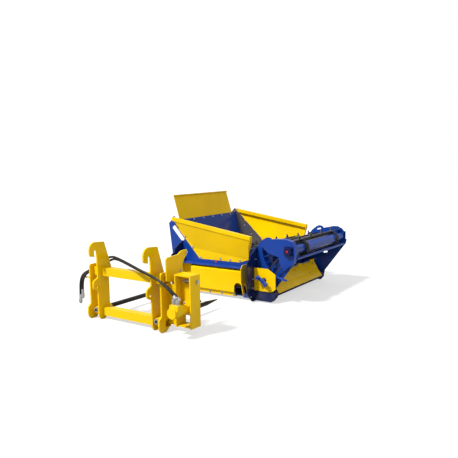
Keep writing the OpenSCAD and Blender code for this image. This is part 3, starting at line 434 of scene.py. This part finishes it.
def paint(name, base, highlight_and_scuff, dust=0.2, gloss=0.22, highlight_amount=0.7, shine=0.35, worn=None):
    """Gloss paint on steel with a painted highlight along the edges, scuffs and dust. worn adds a mask
    of bare steel.
    """
    look = bpy.context.scene.unroller_finish
    made, tree, shader, here = new_material(name)
    edge = placed(tree, painted_edge_highlight(), Width=0.0025, Place=here)
    film = placed(tree, dust_film(), Amount=dust, Place=here)["Mask"]
    lines = placed(tree, scuffs(), Amount=0.35, Place=here)["Mask"]
    shade = ramp(tree, noise(tree, here, 2.2, 3.0), 0.35, 0.7)
    tone = mixed(tree, shade, base, tuple(c * 0.88 for c in base))
    # Painted highlight: the rounded edges take the paler tone, broken up by noise.
    tone = mixed(tree, sums(tree, "MULTIPLY", edge["Mask"], highlight_amount), tone, highlight_and_scuff)
    # The same paler tone colours the scuffs, which are real wear.
    tone = mixed(tree, sums(tree, "MULTIPLY", lines, 0.5), tone, highlight_and_scuff)
    rough = sums(tree, "ADD", gloss, sums(tree, "MULTIPLY", film, 0.5))
    rough = sums(tree, "ADD", rough, sums(tree, "MULTIPLY", lines, 0.25))
    metal = 0.0
    if worn:
        bare = worn(tree, here)
        grain = noise(tree, stretched(tree, here, 8.0, 90.0, 90.0), 3.0, 4.0)
        steel = mixed(tree, grain, look.steel, tuple(c * 0.45 for c in look.steel))
        tone = mixed(tree, bare, tone, steel)
        rough = sums(tree, "ADD", rough, sums(tree, "MULTIPLY", bare, 0.22))
        metal = sums(tree, "MULTIPLY", bare, 0.7)
    tone = mixed(tree, film, tone, look.dust)
    height = placed(tree, paint_skin(), Peel=0.1, Waviness=1.0, Place=here)["Height"]
    set_shader(
        tree, shader, Base_Color=tone, Roughness=rough, Metallic=metal,
        Normal=bump(tree, height, 0.0012), Coat_Weight=0.05, Coat_Roughness=0.12,
        Specular_IOR_Level=shine,
    )
    return made


# In the paints below, the paler third colour is the painted edge highlight; it also colours the scuffs.
def yellow_paint():
    look = bpy.context.scene.unroller_finish
    return paint(
        "Yellow paint", tuple(look.yellow), (0.9, 0.62, 0.04), dust=0.04, gloss=0.2, shine=0.14
    )


def blue_paint():
    look = bpy.context.scene.unroller_finish
    return paint("Blue paint", tuple(look.blue), (0.04, 0.12, 0.42))


# Painted shade: the frame blue darkened, as the posts and bearings look in shade.
def navy_paint():
    look = bpy.context.scene.unroller_finish
    return paint("Blue paint in painted shade", tuple(look.shaded_blue), (0.02, 0.04, 0.16), dust=0.08)


def black_paint():
    look = bpy.context.scene.unroller_finish
    return paint("Black paint", tuple(look.black), (0.12, 0.12, 0.12), dust=0.1, gloss=0.34)


def rubbed_inside(tree, here):
    """Bare where bales slide: the inner face of the rear plate, up to the middle shaft."""
    parts = add(tree, "ShaderNodeSeparateXYZ", {0: here}).outputs
    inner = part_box("side_plate_rear")[0].y
    face = sums(tree, "LESS_THAN", parts["Y"], inner + 0.0005)
    start = place(0.02, 0, 0).x
    near = sums(tree, "SUBTRACT", 1.0, ramp(tree, parts["X"], start - 0.12, start + 0.25))
    patchy = ramp(tree, noise(tree, here, 6.0, 5.0, 0.6), 0.22, 0.5)
    return sums(tree, "MULTIPLY", sums(tree, "MULTIPLY", face, near), patchy)


def rubbed_plate_paint():
    look = bpy.context.scene.unroller_finish
    # The paler colour here is the painted edge highlight, and it also colours the scuffs.
    return paint("Rubbed plate paint", tuple(look.blue), (0.05, 0.1, 0.4), worn=rubbed_inside)


def metal(name, base, dark, rough, brushed, dust=0.3, metallic=0.85):
    """Bare or plated steel with brushed grain, stains, dust and a painted highlight along the edges."""
    look = bpy.context.scene.unroller_finish
    made, tree, shader, here = new_material(name)
    edge = placed(tree, painted_edge_highlight(), Width=0.002, Place=here)["Edge"]
    film = placed(tree, dust_film(), Amount=dust, Place=here)["Mask"]
    grain = noise(tree, stretched(tree, here, *brushed), 3.0, 4.0)
    stain = ramp(tree, noise(tree, here, 14.0, 5.0, 0.62), 0.35, 0.75)
    tone = mixed(tree, stain, base, dark)
    # Painted highlight: the edges turn a paler steel.
    highlight_and_scuff = sums(tree, "MULTIPLY", ramp(tree, edge, 0.03, 0.2), 0.5)
    tone = mixed(tree, highlight_and_scuff, tone, (0.6, 0.58, 0.55))
    tone = mixed(tree, film, tone, look.dust)
    dull = sums(tree, "ADD", rough, sums(tree, "MULTIPLY", grain, 0.22))
    set_shader(
        tree, shader, Base_Color=tone, Metallic=metallic,
        Roughness=sums(tree, "ADD", dull, sums(tree, "MULTIPLY", film, 0.35)),
        Normal=bump(tree, grain, 0.0005, 0.5),
    )
    return made


def worn_steel():
    look = bpy.context.scene.unroller_finish
    base = tuple(look.steel)
    return metal("Worn steel", base, tuple(c * 0.4 for c in base), 0.38, (60.0, 6.0, 60.0))


def dark_steel():
    return metal(
        "Oiled steel", (0.07, 0.066, 0.062), (0.025, 0.022, 0.02), 0.34, (40.0, 40.0, 40.0)
    )


def slat_steel():
    """Dark, worn steel of the slats."""
    return metal(
        "Slat steel", (0.03, 0.034, 0.055), (0.012, 0.014, 0.026), 0.36, (30.0, 60.0, 30.0),
        dust=0.1, metallic=0.55,
    )


def zinc_steel():
    look = bpy.context.scene.unroller_finish
    base = tuple(look.zinc)
    return metal(
        "Zinc plate", base, tuple(c * 0.6 for c in base), 0.24, (50.0, 50.0, 50.0), dust=0.15
    )


def red_cap():
    """Moulded plastic."""
    look = bpy.context.scene.unroller_finish
    made, tree, shader, here = new_material("Red plastic")
    faded = ramp(tree, noise(tree, here, 30.0), 0.4, 0.7)
    tone = mixed(tree, faded, tuple(look.red), tuple(c * 0.7 for c in look.red))
    rough = sums(tree, "ADD", 0.32, sums(tree, "MULTIPLY", faded, 0.15))
    fine = noise(tree, here, 600.0)
    set_shader(tree, shader, Base_Color=tone, Roughness=rough, Normal=bump(tree, fine, 0.0002))
    return made


def hose_rubber():
    """Black rubber with the impression of its wrapping cloth."""
    look = bpy.context.scene.unroller_finish
    made, tree, shader, here = new_material("Hose rubber")
    film = placed(tree, dust_film(), Amount=0.12, Place=here)["Mask"]
    weave = add(
        tree, "ShaderNodeTexWave", {"Vector": here, "Scale": 190.0, "Distortion": 1.5},
        wave_type="BANDS", bands_direction="DIAGONAL",
    ).outputs["Fac"]
    worn = ramp(tree, noise(tree, here, 18.0, 4.0), 0.45, 0.75)
    tone = mixed(tree, worn, (0.007, 0.007, 0.008), (0.02, 0.02, 0.021))
    tone = mixed(tree, film, tone, look.dust)
    rough = sums(tree, "ADD", 0.42, sums(tree, "MULTIPLY", worn, 0.2))
    set_shader(
        tree, shader, Base_Color=tone, Roughness=rough, Normal=bump(tree, weave, 0.0004),
        Specular_IOR_Level=0.25,
    )
    return made


def label_film():
    """Blank white film."""
    made, tree, shader, here = new_material("Label film")
    aged = ramp(tree, noise(tree, here, 12.0, 4.0), 0.4, 0.7)
    tone = mixed(tree, aged, (0.86, 0.86, 0.86), (0.74, 0.74, 0.72))
    fine = noise(tree, here, 300.0)
    rough = sums(tree, "ADD", 0.3, sums(tree, "MULTIPLY", aged, 0.15))
    set_shader(tree, shader, Base_Color=tone, Roughness=rough, Normal=bump(tree, fine, 0.0001))
    return made


def floor_paint():
    """Plain pale floor with the faintest mottling."""
    look = bpy.context.scene.unroller_stage
    made, tree, shader, here = new_material("Floor")
    cloud = noise(tree, here, 0.6, 2.0)
    tone = mixed(tree, cloud, tuple(look.floor), tuple(c * 0.985 for c in look.floor))
    seen = add(tree, "ShaderNodeLightPath").outputs["Is Camera Ray"]
    set_shader(
        tree, shader, Base_Color=tone, Roughness=0.9, Emission_Color=(1.0, 1.0, 1.0, 1.0),
        Emission_Strength=sums(tree, "MULTIPLY", seen, look.floor_glow),
    )
    return made


FINISHES = {
    "yellow_paint": yellow_paint,
    "blue_paint": blue_paint,
    "navy_paint": navy_paint,
    "black_paint": black_paint,
    "rubbed_plate": rubbed_plate_paint,
    "worn_steel": worn_steel,
    "dark_steel": dark_steel,
    "slat_steel": slat_steel,
    "zinc_steel": zinc_steel,
    "red_cap": red_cap,
    "hose_rubber": hose_rubber,
    "label_film": label_film,
    "floor": floor_paint,
}
ready = {}


def material(name):
    """A finish by name, made the first time it is asked for."""
    if name not in ready:
        ready[name] = FINISHES[name]()
    return ready[name]


# ---- Stage ----

CAMERA_PLACE = (3.5, -4.855, 1.45)  # metres from the machine's zero
CAMERA_TURN = (34.22, 6.778, -0.84)  # heading, pitch down and roll, in degrees
SENSOR_WIDTH = 36
# Name, share of the key light's strength, spread, tilt and turn in degrees
SUNS = (("Key", 1.0, 7.0, 37.0, -26.0), ("Fill", 0.16, 60.0, 55.0, 75.0))


class UNROLLER_OT_stage(bpy.types.Operator):
    """Camera, floor and studio light"""

    bl_idname = "unroller.stage"
    bl_label = "Stage"

    def camera(self, look):
        heading, pitch, roll = (math.radians(v) for v in CAMERA_TURN)
        ahead = Vector((
            -math.sin(heading) * math.cos(pitch),
            math.cos(heading) * math.cos(pitch),
            -math.sin(pitch),
        ))
        level = Vector((math.cos(heading), math.sin(heading), 0))
        above = level.cross(ahead)
        right = level * math.cos(roll) + above * math.sin(roll)
        up = right.cross(ahead)
        data = bpy.data.cameras.new("Camera")
        data.lens = look.lens
        data.sensor_width = SENSOR_WIDTH
        camera = bpy.data.objects.new("Camera", data)
        camera.matrix_world = Matrix.Translation(place(*CAMERA_PLACE)) @ Matrix((
            (right.x, up.x, -ahead.x), (right.y, up.y, -ahead.y), (right.z, up.z, -ahead.z),
        )).to_4x4()
        bpy.context.scene.collection.objects.link(camera)
        bpy.context.scene.camera = camera

    def floor(self, look):
        bm = bmesh.new()
        bmesh.ops.create_grid(bm, x_segments=1, y_segments=1, size=look.floor_size / 2)
        mesh = bpy.data.meshes.new("Floor")
        bm.to_mesh(mesh)
        bm.free()
        mesh.materials.append(material("floor"))
        floor = bpy.data.objects.new("Floor", mesh)
        bpy.context.scene.collection.objects.link(floor)

    def lights(self, look):
        for name, share, spread, tilt, turn in SUNS:
            data = bpy.data.lights.new(name, "SUN")
            data.energy = look.key * share
            data.angle = math.radians(spread)
            light = bpy.data.objects.new(name, data)
            light.rotation_euler = (math.radians(tilt), 0, math.radians(turn))
            bpy.context.scene.collection.objects.link(light)
        world = bpy.data.worlds.new("Studio")
        world.use_nodes = True
        tree = world.node_tree
        seen = add(tree, "ShaderNodeLightPath").outputs["Is Camera Ray"]
        glow = sums(tree, "MULTIPLY_ADD", seen, 1.0 - look.sky, look.sky)
        backdrop = tree.nodes["Background"]
        backdrop.inputs["Color"].default_value = (1, 1, 1, 1)
        tree.links.new(glow, backdrop.inputs["Strength"])
        bpy.context.scene.world = world
        bpy.context.scene.view_settings.view_transform = "Standard"

    def execute(self, context):
        look = context.scene.unroller_stage
        self.camera(look)
        self.floor(look)
        self.lights(look)
        return {"FINISHED"}


# ---- Hoses ----

# Length, radius from the hose's radius, and kind of each section of a coupler
COUPLER_PARTS = (
    (0.034, 1.24, "crimp"), (0.012, 1.4, "nut"), (0.03, 1.5, "sleeve"), (0.012, 1.2, "plain"),
)
CRIMPS = 5
KNURLS = 20


def smooth_points(route, steps=8):
    """Points along a smooth line through the route, in the row frame."""
    points = [place(*p) for p in route]
    last = len(points) - 1
    line = []
    for i in range(last):
        p, q, r, s = (points[max(i - 1, 0)], points[i], points[i + 1], points[min(i + 2, last)])
        for k in range(steps):
            t = k / steps
            line.append(0.5 * (
                2 * q + (r - p) * t + (2 * p - 5 * q + 4 * r - s) * t ** 2
                + (3 * q - p - 3 * r + s) * t ** 3
            ))
    return line + [points[last]]


class UNROLLER_OT_hoses(bpy.types.Operator):
    """Both hydraulic hoses with their crimped ends and quick couplers"""

    bl_idname = "unroller.hoses"
    bl_label = "Hoses"

    def coupler(self, name, foot, way, size):
        """Crimped shell, hexagon, knurled sleeve and plug end on the loose end of a hose."""
        bm = bmesh.new()
        r = size / 2
        start = foot
        for length, ratio, kind in COUPLER_PARTS:
            end = start + way * length
            radius = r * ratio
            if kind == "crimp":
                for k in range(CRIMPS):
                    a, b = (start + way * length * (k + s) / CRIMPS for s in (0, 0.8))
                    rod(bm, a, b, radius)
                    rod(bm, b, start + way * length * (k + 1) / CRIMPS, radius * 0.93)
            elif kind == "nut":
                rod(bm, start, end, radius, sides=6)
            elif kind == "sleeve":
                rod(bm, start, end, radius * 0.96, sides=40)
                inset = way * 0.004
                for k in range(KNURLS):
                    spoke = way.orthogonal().normalized() * radius * 0.95
                    spoke.rotate(Matrix.Rotation(math.tau * k / KNURLS, 3, way))
                    rod(bm, start + spoke + inset, end + spoke - inset, radius * 0.07, sides=6)
            else:
                rod(bm, start, end, radius)
            start = end
        return finished(bm, name, "headstock", ["zinc_steel"], ["hose_couplers"])

    def hose(self, name, route, length, node, coupler):
        look = bpy.context.scene.unroller_detail
        line = smooth_points(route)
        curve = bpy.data.curves.new(name, "CURVE")
        curve.dimensions = "3D"
        curve.bevel_depth = look.hose_d / 2
        curve.bevel_resolution = 5
        curve.use_fill_caps = True
        spline = curve.splines.new("POLY")
        spline.points.add(len(line) - 1)
        for point, p in zip(spline.points, line):
            point.co = (*p, 1)
        spline.use_smooth = True
        curve.materials.append(material("hose_rubber"))
        piece = bpy.data.objects.new(name, curve)
        bpy.context.scene.collection.objects.link(piece)
        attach(piece, "headstock")
        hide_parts(node)
        way = (line[-1] - line[-2]).normalized()
        end = self.coupler(coupler, line[-1], way, look.hose_d)

    def execute(self, context):
        self.hose(
            "pressure_line", PRESSURE_ROUTE, PRESSURE_LENGTH, "pressure_hose", "pressure_coupler"
        )
        self.hose("return_line", RETURN_ROUTE, RETURN_LENGTH, "return_hose", "return_coupler")
        return {"FINISHED"}


# ---- Chains ----

PIN_STAND_OUT = 0.001
CHAIN_BAND = 0.014
WHEEL_TEETH, DOG_TEETH = 16, 12
CHAIN_LIFT = 0.0095  # the pins' path above the rollers' surface


def loop_places(a, ra, b, rb, pitch):
    """Even places round a belt over two wheels in the X-Z plane: (point, direction) pairs."""
    gap = (b - a).length
    way = (b - a) / gap
    side = Vector((-way.z, 0, way.x))
    lean = math.asin((ra - rb) / gap)
    reach = gap * math.cos(lean)
    arc_b, arc_a = (math.pi - 2 * lean) * rb, (math.pi + 2 * lean) * ra
    total = 2 * reach + arc_a + arc_b
    count = round(total / pitch)

    def spoke(turn):
        return way * math.cos(turn) + side * math.sin(turn)

    def spot(s):
        s %= total
        if s < reach:
            return a + spoke(math.pi / 2 - lean) * ra + spoke(-lean) * s
        s -= reach
        if s < arc_b:
            return b + spoke(math.pi / 2 - lean - s / rb) * rb
        s -= arc_b
        if s < reach:
            return b + spoke(lean - math.pi / 2) * rb - spoke(lean) * s
        s -= reach
        return a + spoke(lean - math.pi / 2 - s / ra) * ra

    places = []
    for k in range(count):
        here, ahead = spot(k * total / count), spot((k + 1) * total / count)
        places.append((here, ahead))
    return places


def link_part(pitch, high, wide, plate_t, roller):
    """One chain link from its own pin to the next: two side plates, a roller and a pin."""
    bm = bmesh.new()
    for side in (-1, 1):
        made = bmesh.ops.create_cube(
            bm, size=1,
            matrix=Matrix.Translation((pitch / 2, side * (wide - plate_t) / 2, 0))
            @ Matrix.Diagonal((pitch + high * 0.9, plate_t, high, 1)),
        )
        ends = {
            e for v in made["verts"] for e in v.link_edges
            if abs(e.verts[0].co.y - e.verts[1].co.y) > plate_t / 2
        }
        bevelled(bm, list(ends), high * 0.42, 3)
    inner, outer = Vector((0, wide / 2 - plate_t, 0)), Vector((0, wide / 2 + PIN_STAND_OUT, 0))
    rod(bm, -inner, inner, roller, sides=12)
    rod(bm, -outer, outer, roller * 0.45, sides=8)
    return bm


class UNROLLER_OT_chains(bpy.types.Operator):
    """Links of the two conveyor chains and of the drive chain"""

    bl_idname = "unroller.chains"
    bl_label = "Chains"

    def lay(self, bm, link, narrow, places, y):
        """Every second link is the narrow inner one."""
        for k, (here, ahead) in enumerate(places):
            step = ahead - here
            turn = Matrix.Rotation(-math.atan2(step.z, step.x), 4, "Y")
            spot = Vector((here.x, y, here.z))
            stamp(bm, narrow if k % 2 else link, Matrix.Translation(spot) @ turn)

    def execute(self, context):
        look = context.scene.unroller_detail
        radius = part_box("tail_rollers")[1].z - TAIL.z + CHAIN_LIFT
        bm = bmesh.new()
        outer = link_part(look.chain_pitch, 0.0165, CHAIN_BAND, 0.003, 0.0065)
        inner = link_part(look.chain_pitch, 0.0165, CHAIN_BAND - 0.006, 0.0025, 0.0065)
        places = loop_places(TAIL, radius, DRIVE, radius, look.chain_pitch)
        for y in CHAIN_YS:
            self.lay(bm, outer, inner, places, y)
        finished(
            bm, "conveyor_chain_links", "unroller",
            ["dark_steel"], ["conveyor_chains"],
        )

        bm = bmesh.new()
        wheel_r, dog_r = (
            look.drive_pitch / (2 * math.sin(math.pi / n)) for n in (WHEEL_TEETH, DOG_TEETH)
        )
        outer = link_part(look.drive_pitch, 0.0095, 0.016, 0.002, 0.0045)
        inner = link_part(look.drive_pitch, 0.0095, 0.0115, 0.002, 0.0045)
        places = loop_places(DOG, dog_r, WHEEL, wheel_r, look.drive_pitch)
        self.lay(bm, outer, inner, places, WHEEL.y)
        finished(bm, "drive_chain_links", "unroller", ["dark_steel"], ["drive_chain"])
        return {"FINISHED"}


# ---- Welds ----

SIDE_PLATE_T = 0.008
PLATES = ("hook_plate_left", "hook_plate_right", "outer_plate_left", "outer_plate_right")


def weld(bm, a, b, width, step):
    """A rippled bead from a to b."""
    count = max(2, round((b - a).length / step))
    for k in range(count):
        start = a.lerp(b, k / count)
        end = a.lerp(b, (k + 1.3) / count)
        rod(bm, start, end, width * 0.5, width * 0.36, sides=6)


def weld_round(bm, centre, radius, axis, width, step):
    """A rippled bead round a rod."""
    arm = axis.orthogonal().normalized() * radius
    count = round(math.tau * radius / step)
    for k in range(count):
        a, b = arm.copy(), arm.copy()
        a.rotate(Matrix.Rotation(math.tau * k / count, 3, axis))
        b.rotate(Matrix.Rotation(math.tau * (k + 1.3) / count, 3, axis))
        rod(bm, centre + a, centre + b, width * 0.5, width * 0.36, sides=6)


class UNROLLER_OT_welds(bpy.types.Operator):
    """Weld beads of the headstock and of the unroller's frame"""

    bl_idname = "unroller.welds"
    bl_label = "Welds"

    def square(self, bm, low, high, axis, at, width, step):
        """A bead round a rectangular tube, on the plane where it meets a plate."""
        others = [i for i in range(3) if i != axis]
        corners = []
        for s, t in ((0, 0), (1, 0), (1, 1), (0, 1)):
            corner = Vector((0, 0, 0))
            corner[axis] = at
            corner[others[0]] = (low, high)[s][others[0]]
            corner[others[1]] = (low, high)[t][others[1]]
            corners.append(corner)
        for a, b in zip(corners, corners[1:] + corners[:1]):
            weld(bm, a, b, width, step)

    def execute(self, context):
        look = context.scene.unroller_detail
        width, step = look.weld_w, look.weld_step
        bm = bmesh.new()
        for beam in ("upper_beam", "lower_beam"):
            low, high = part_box(beam)
            for plate in PLATES:
                left, right = (c.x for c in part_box(plate))
                for at in (left, right):
                    if low.x + 0.01 < at < high.x - 0.01:
                        self.square(bm, low, high, 0, at, width, step)
        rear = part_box("lower_beam")[1].y
        for low, high in islands("spear_sleeves"):
            centre = (low + high) / 2
            centre.y = rear
            weld_round(bm, centre, (high.x - low.x) / 2, Vector((0, 1, 0)), width, step)
        finished(bm, "headstock_welds", "headstock", ["yellow_paint"])

        bm = bmesh.new()
        plates = (place(0, SIDE_PLATE_T, 0).y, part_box("side_plate_rear")[0].y)
        tubes = [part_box("pocket_tube_left"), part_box("pocket_tube_right"), *islands("cross_members")]
        for low, high in tubes:
            for at in plates:
                self.square(bm, low, high, 1, at, width, step)
        finished(bm, "frame_welds", "unroller", ["navy_paint"])
        return {"FINISHED"}


# ---- Small hardware ----

HEAD_HEIGHT = 0.0072  # of the panel bolts in the frame
WIDEST_BOLT = 0.03
SMALLEST_FLANGE = 0.08  # a bearing's flange is at least this wide
BOLT_REACH = 0.76  # place of a flange's bolts, from half its width
FLANGE_T = 0.014
FLANGE_BOLT = (0.010, 0.007, 0.002)  # bolt diameter, head height and washer thickness
SLAT_FACE = 0.0942  # slats' outer face, from the line through the shafts
SLAT_BOLT_GAP = 0.013  # half the distance between a slat's two bolts on a chain
MOTOR_FLANGE_T = 0.016
MOTOR_BOLT_REACH = 0.041  # place of the flange's bolts, from the motor's axis
MOTOR_SEAMS = (0.048, 0.056, 0.074, 0.096)  # behind the motor's end
MOTOR_BOLTS = 7
MOTOR_BOLT_R = 0.0445
MOTOR_CAP_T = 0.026
FITTING_RINGS = 4
RING_PITCH = 0.005


class UNROLLER_OT_hardware(bpy.types.Operator):
    """Washers, bearing bolts, slat bolts and motor bolts"""

    bl_idname = "unroller.hardware"
    bl_label = "Small hardware"

    def washers(self, look):
        """Washers under the heads of the panel and guard bolts."""
        bm = bmesh.new()
        out = Vector((0, 1, 0))
        for node in ("hopper_bolts", "frame_bolts"):
            for low, high in islands(node):
                size = high - low
                if size.y < max(size.x, size.z) * 0.9 or size.x > WIDEST_BOLT:
                    continue
                centre = (low + high) / 2
                for face, way in ((low.y + HEAD_HEIGHT, -out), (high.y - HEAD_HEIGHT, out)):
                    spot = Vector((centre.x, face, centre.z))
                    rod(bm, spot, spot + way * look.washer_t, size.x * 0.62, sides=20)
        finished(bm, "bolt_washers", "unroller", ["zinc_steel"])

    def bearing_bolts(self):
        """Four bolts on each flange of the drive shaft's bearings, and a grease nipple."""
        bm = bmesh.new()
        bolt = bolt_part(*FLANGE_BOLT)
        for low, high in islands("drive_bearings"):
            centre = (low + high) / 2
            if high.x - low.x < SMALLEST_FLANGE:
                continue
            reach = (high.x - low.x) / 2 * BOLT_REACH
            front = centre.y < TAIL.y
            way = Vector((0, -1 if front else 1, 0))
            face = high.y - FLANGE_T if front else low.y + FLANGE_T
            for sx in (-1, 1):
                for sz in (-1, 1):
                    spot = Vector((centre.x + sx * reach, face, centre.z + sz * reach))
                    stamp(bm, bolt, facing(spot, way))
            top = Vector((centre.x, face + way.y * 0.015, centre.z + 0.041))
            neck = top + Vector((0, 0, 0.006))
            rod(bm, top, neck, 0.005, sides=6)
            rod(bm, neck, top + Vector((0, 0, 0.012)), 0.003, 0.0022, sides=12)
        finished(bm, "bearing_bolts", "unroller", ["navy_paint"])

    def slat_bolts(self):
        """Two round heads where each slat crosses a chain."""
        bm = bmesh.new()
        tilt = Vector((-math.sin(RISE), 0, math.cos(RISE)))
        along = Vector((math.cos(RISE), 0, math.sin(RISE)))
        for low, high in islands("conveyor_slats"):
            centre = (low + high) / 2
            reach = (centre - TAIL).dot(along)
            up = 1 if (centre - TAIL).dot(tilt) > 0 else -1
            face = TAIL + along * reach + tilt * up * SLAT_FACE
            for y in CHAIN_YS:
                for s in (-1, 1):
                    spot = Vector((face.x, y, face.z)) + along * s * SLAT_BOLT_GAP
                    rod(bm, spot, spot + tilt * up * 0.003, 0.008, 0.006, sides=16)
        finished(bm, "slat_bolts", "unroller", ["dark_steel"])

    def motor_bolts(self):
        """Four bolts that hold the motor's flange on its plate."""
        bm = bmesh.new()
        bolt = bolt_part(*FLANGE_BOLT)
        low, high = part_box("hydraulic_motor")
        centre = (low + high) / 2
        axis_z = middle("motor_coupling").z
        face, reach = high.y - MOTOR_FLANGE_T, MOTOR_BOLT_REACH
        for sx in (-1, 1):
            for sz in (-1, 1):
                spot = Vector((centre.x + sx * reach, face, axis_z + sz * reach))
                stamp(bm, bolt, facing(spot, Vector((0, -1, 0))))
        finished(bm, "motor_bolts", "headstock", ["zinc_steel"])

    def motor_trim(self):
        """Seams of the motor's stacked sections and the bolts that clamp them."""
        bm = bmesh.new()
        low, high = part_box("hydraulic_motor")
        axis = Vector(((low.x + high.x) / 2, 0, middle("motor_coupling").z))
        for depth in MOTOR_SEAMS:
            spot = axis + Vector((0, low.y + depth, 0))
            rod(bm, spot, spot + Vector((0, 0.0016, 0)), 0.0506, sides=56)
        bolt = bolt_part(0.009, 0.009)
        for k in range(MOTOR_BOLTS):
            turn = math.tau * (k + 0.5) / MOTOR_BOLTS
            across, up = math.cos(turn) * MOTOR_BOLT_R, math.sin(turn) * MOTOR_BOLT_R
            spot = axis + Vector((across, low.y + MOTOR_CAP_T, up))
            stamp(bm, bolt, facing(spot, Vector((0, -1, 0))))
        finished(bm, "motor_trim", "headstock", ["yellow_paint"])

    def fitting_trim(self):
        """Swivel nuts and crimp rings on the two elbow fittings."""
        bm = bmesh.new()
        for route in (PRESSURE_ROUTE, RETURN_ROUTE):
            line = smooth_points(route)
            way = (line[0] - line[1]).normalized()
            for k in range(FITTING_RINGS):
                start = line[0] + way * (0.002 + RING_PITCH * k)
                rod(bm, start, start + way * 0.003, 0.0148, sides=28)
            start = line[0] + way * 0.023
            rod(bm, start, start + way * 0.011, 0.0165, sides=6)
        finished(bm, "fitting_trim", "headstock", ["zinc_steel"])

    def execute(self, context):
        look = context.scene.unroller_detail
        self.motor_trim()
        self.fitting_trim()
        self.washers(look)
        self.bearing_bolts()
        self.slat_bolts()
        self.motor_bolts()
        return {"FINISHED"}


LABEL_ENDS = ((-0.600, 0, 0.742), (-0.452, 0, 0.583))  # from the machine's zero
LABEL_HEIGHT = 0.05
LABEL_FILM = 0.0008


class UNROLLER_OT_label(bpy.types.Operator):
    """Blank label strip on the front side plate"""

    bl_idname = "unroller.label"
    bl_label = "Label strip"

    def execute(self, context):
        bm = bmesh.new()
        head, foot = (place(*end) for end in LABEL_ENDS)
        way = (foot - head).normalized()
        turn = Matrix((way, Vector((0, 1, 0)), way.cross(Vector((0, 1, 0))))).transposed().to_4x4()
        length, height, film = (foot - head).length, LABEL_HEIGHT, LABEL_FILM
        made = bmesh.ops.create_cube(
            bm, size=1,
            matrix=Matrix.Translation((head + foot) / 2 - Vector((0, film / 2, 0)))
            @ turn @ Matrix.Diagonal((length, film, height, 1)),
        )
        corners = {
            e for v in made["verts"] for e in v.link_edges
            if abs(e.verts[0].co.y - e.verts[1].co.y) > film / 2
        }
        bevelled(bm, list(corners), 0.008, 4)
        finished(bm, "blank_label", "unroller", ["label_film"])
        return {"FINISHED"}


# ---- Finishes of the carried-over pieces ----


class UNROLLER_OT_finishes(bpy.types.Operator):
    """Paint and metal on every piece of the frame, by its slot in the record"""

    bl_idname = "unroller.finishes"
    bl_label = "Finishes"

    special = {"side_plate_rear": "rubbed_plate", "conveyor_slats": "slat_steel"}

    def execute(self, context):
        for part in frame["record"]["subparts"]:
            node = frame["nodes"][part["node"]]
            finish = self.special.get(part["node"], part["material_slot"])
            node.data.materials.clear()
            node.data.materials.append(material(finish))
        return {"FINISHED"}


# ---- Panel and registration ----


class UNROLLER_PT_panel(bpy.types.Panel):
    bl_label = "Bale unroller"
    bl_idname = "UNROLLER_PT_panel"
    bl_space_type = "VIEW_3D"
    bl_region_type = "UI"
    bl_category = "Unroller"

    def draw(self, context):
        scene = context.scene
        for settings in (scene.unroller_finish, scene.unroller_detail, scene.unroller_stage):
            box = self.layout.box()
            for name in settings.bl_rna.properties.keys():
                if name not in {"rna_type", "name"}:
                    box.prop(settings, name)
        for operator in OPERATORS:
            self.layout.operator(operator.bl_idname)


OPERATORS = (
    UNROLLER_OT_stage,
    UNROLLER_OT_hoses,
    UNROLLER_OT_chains,
    UNROLLER_OT_welds,
    UNROLLER_OT_hardware,
    UNROLLER_OT_label,
    UNROLLER_OT_finishes,
)
GROUPS = {
    "unroller_finish": UNROLLER_PG_finish,
    "unroller_detail": UNROLLER_PG_detail,
    "unroller_stage": UNROLLER_PG_stage,
}
CLASSES = (*GROUPS.values(), *OPERATORS, UNROLLER_PT_panel)


def register():
    for cls in CLASSES:
        bpy.utils.register_class(cls)
    for name, cls in GROUPS.items():
        setattr(bpy.types.Scene, name, bpy.props.PointerProperty(type=cls))


def unregister():
    for name in GROUPS:
        delattr(bpy.types.Scene, name)
    for cls in reversed(CLASSES):
        bpy.utils.unregister_class(cls)


def main():
    """Builds everything in order."""
    register()
    bpy.ops.unroller.stage()
    bpy.ops.unroller.hoses()
    bpy.ops.unroller.chains()
    bpy.ops.unroller.welds()
    bpy.ops.unroller.hardware()
    bpy.ops.unroller.label()
    bpy.ops.unroller.finishes()


if __name__ == "__main__":
    main()
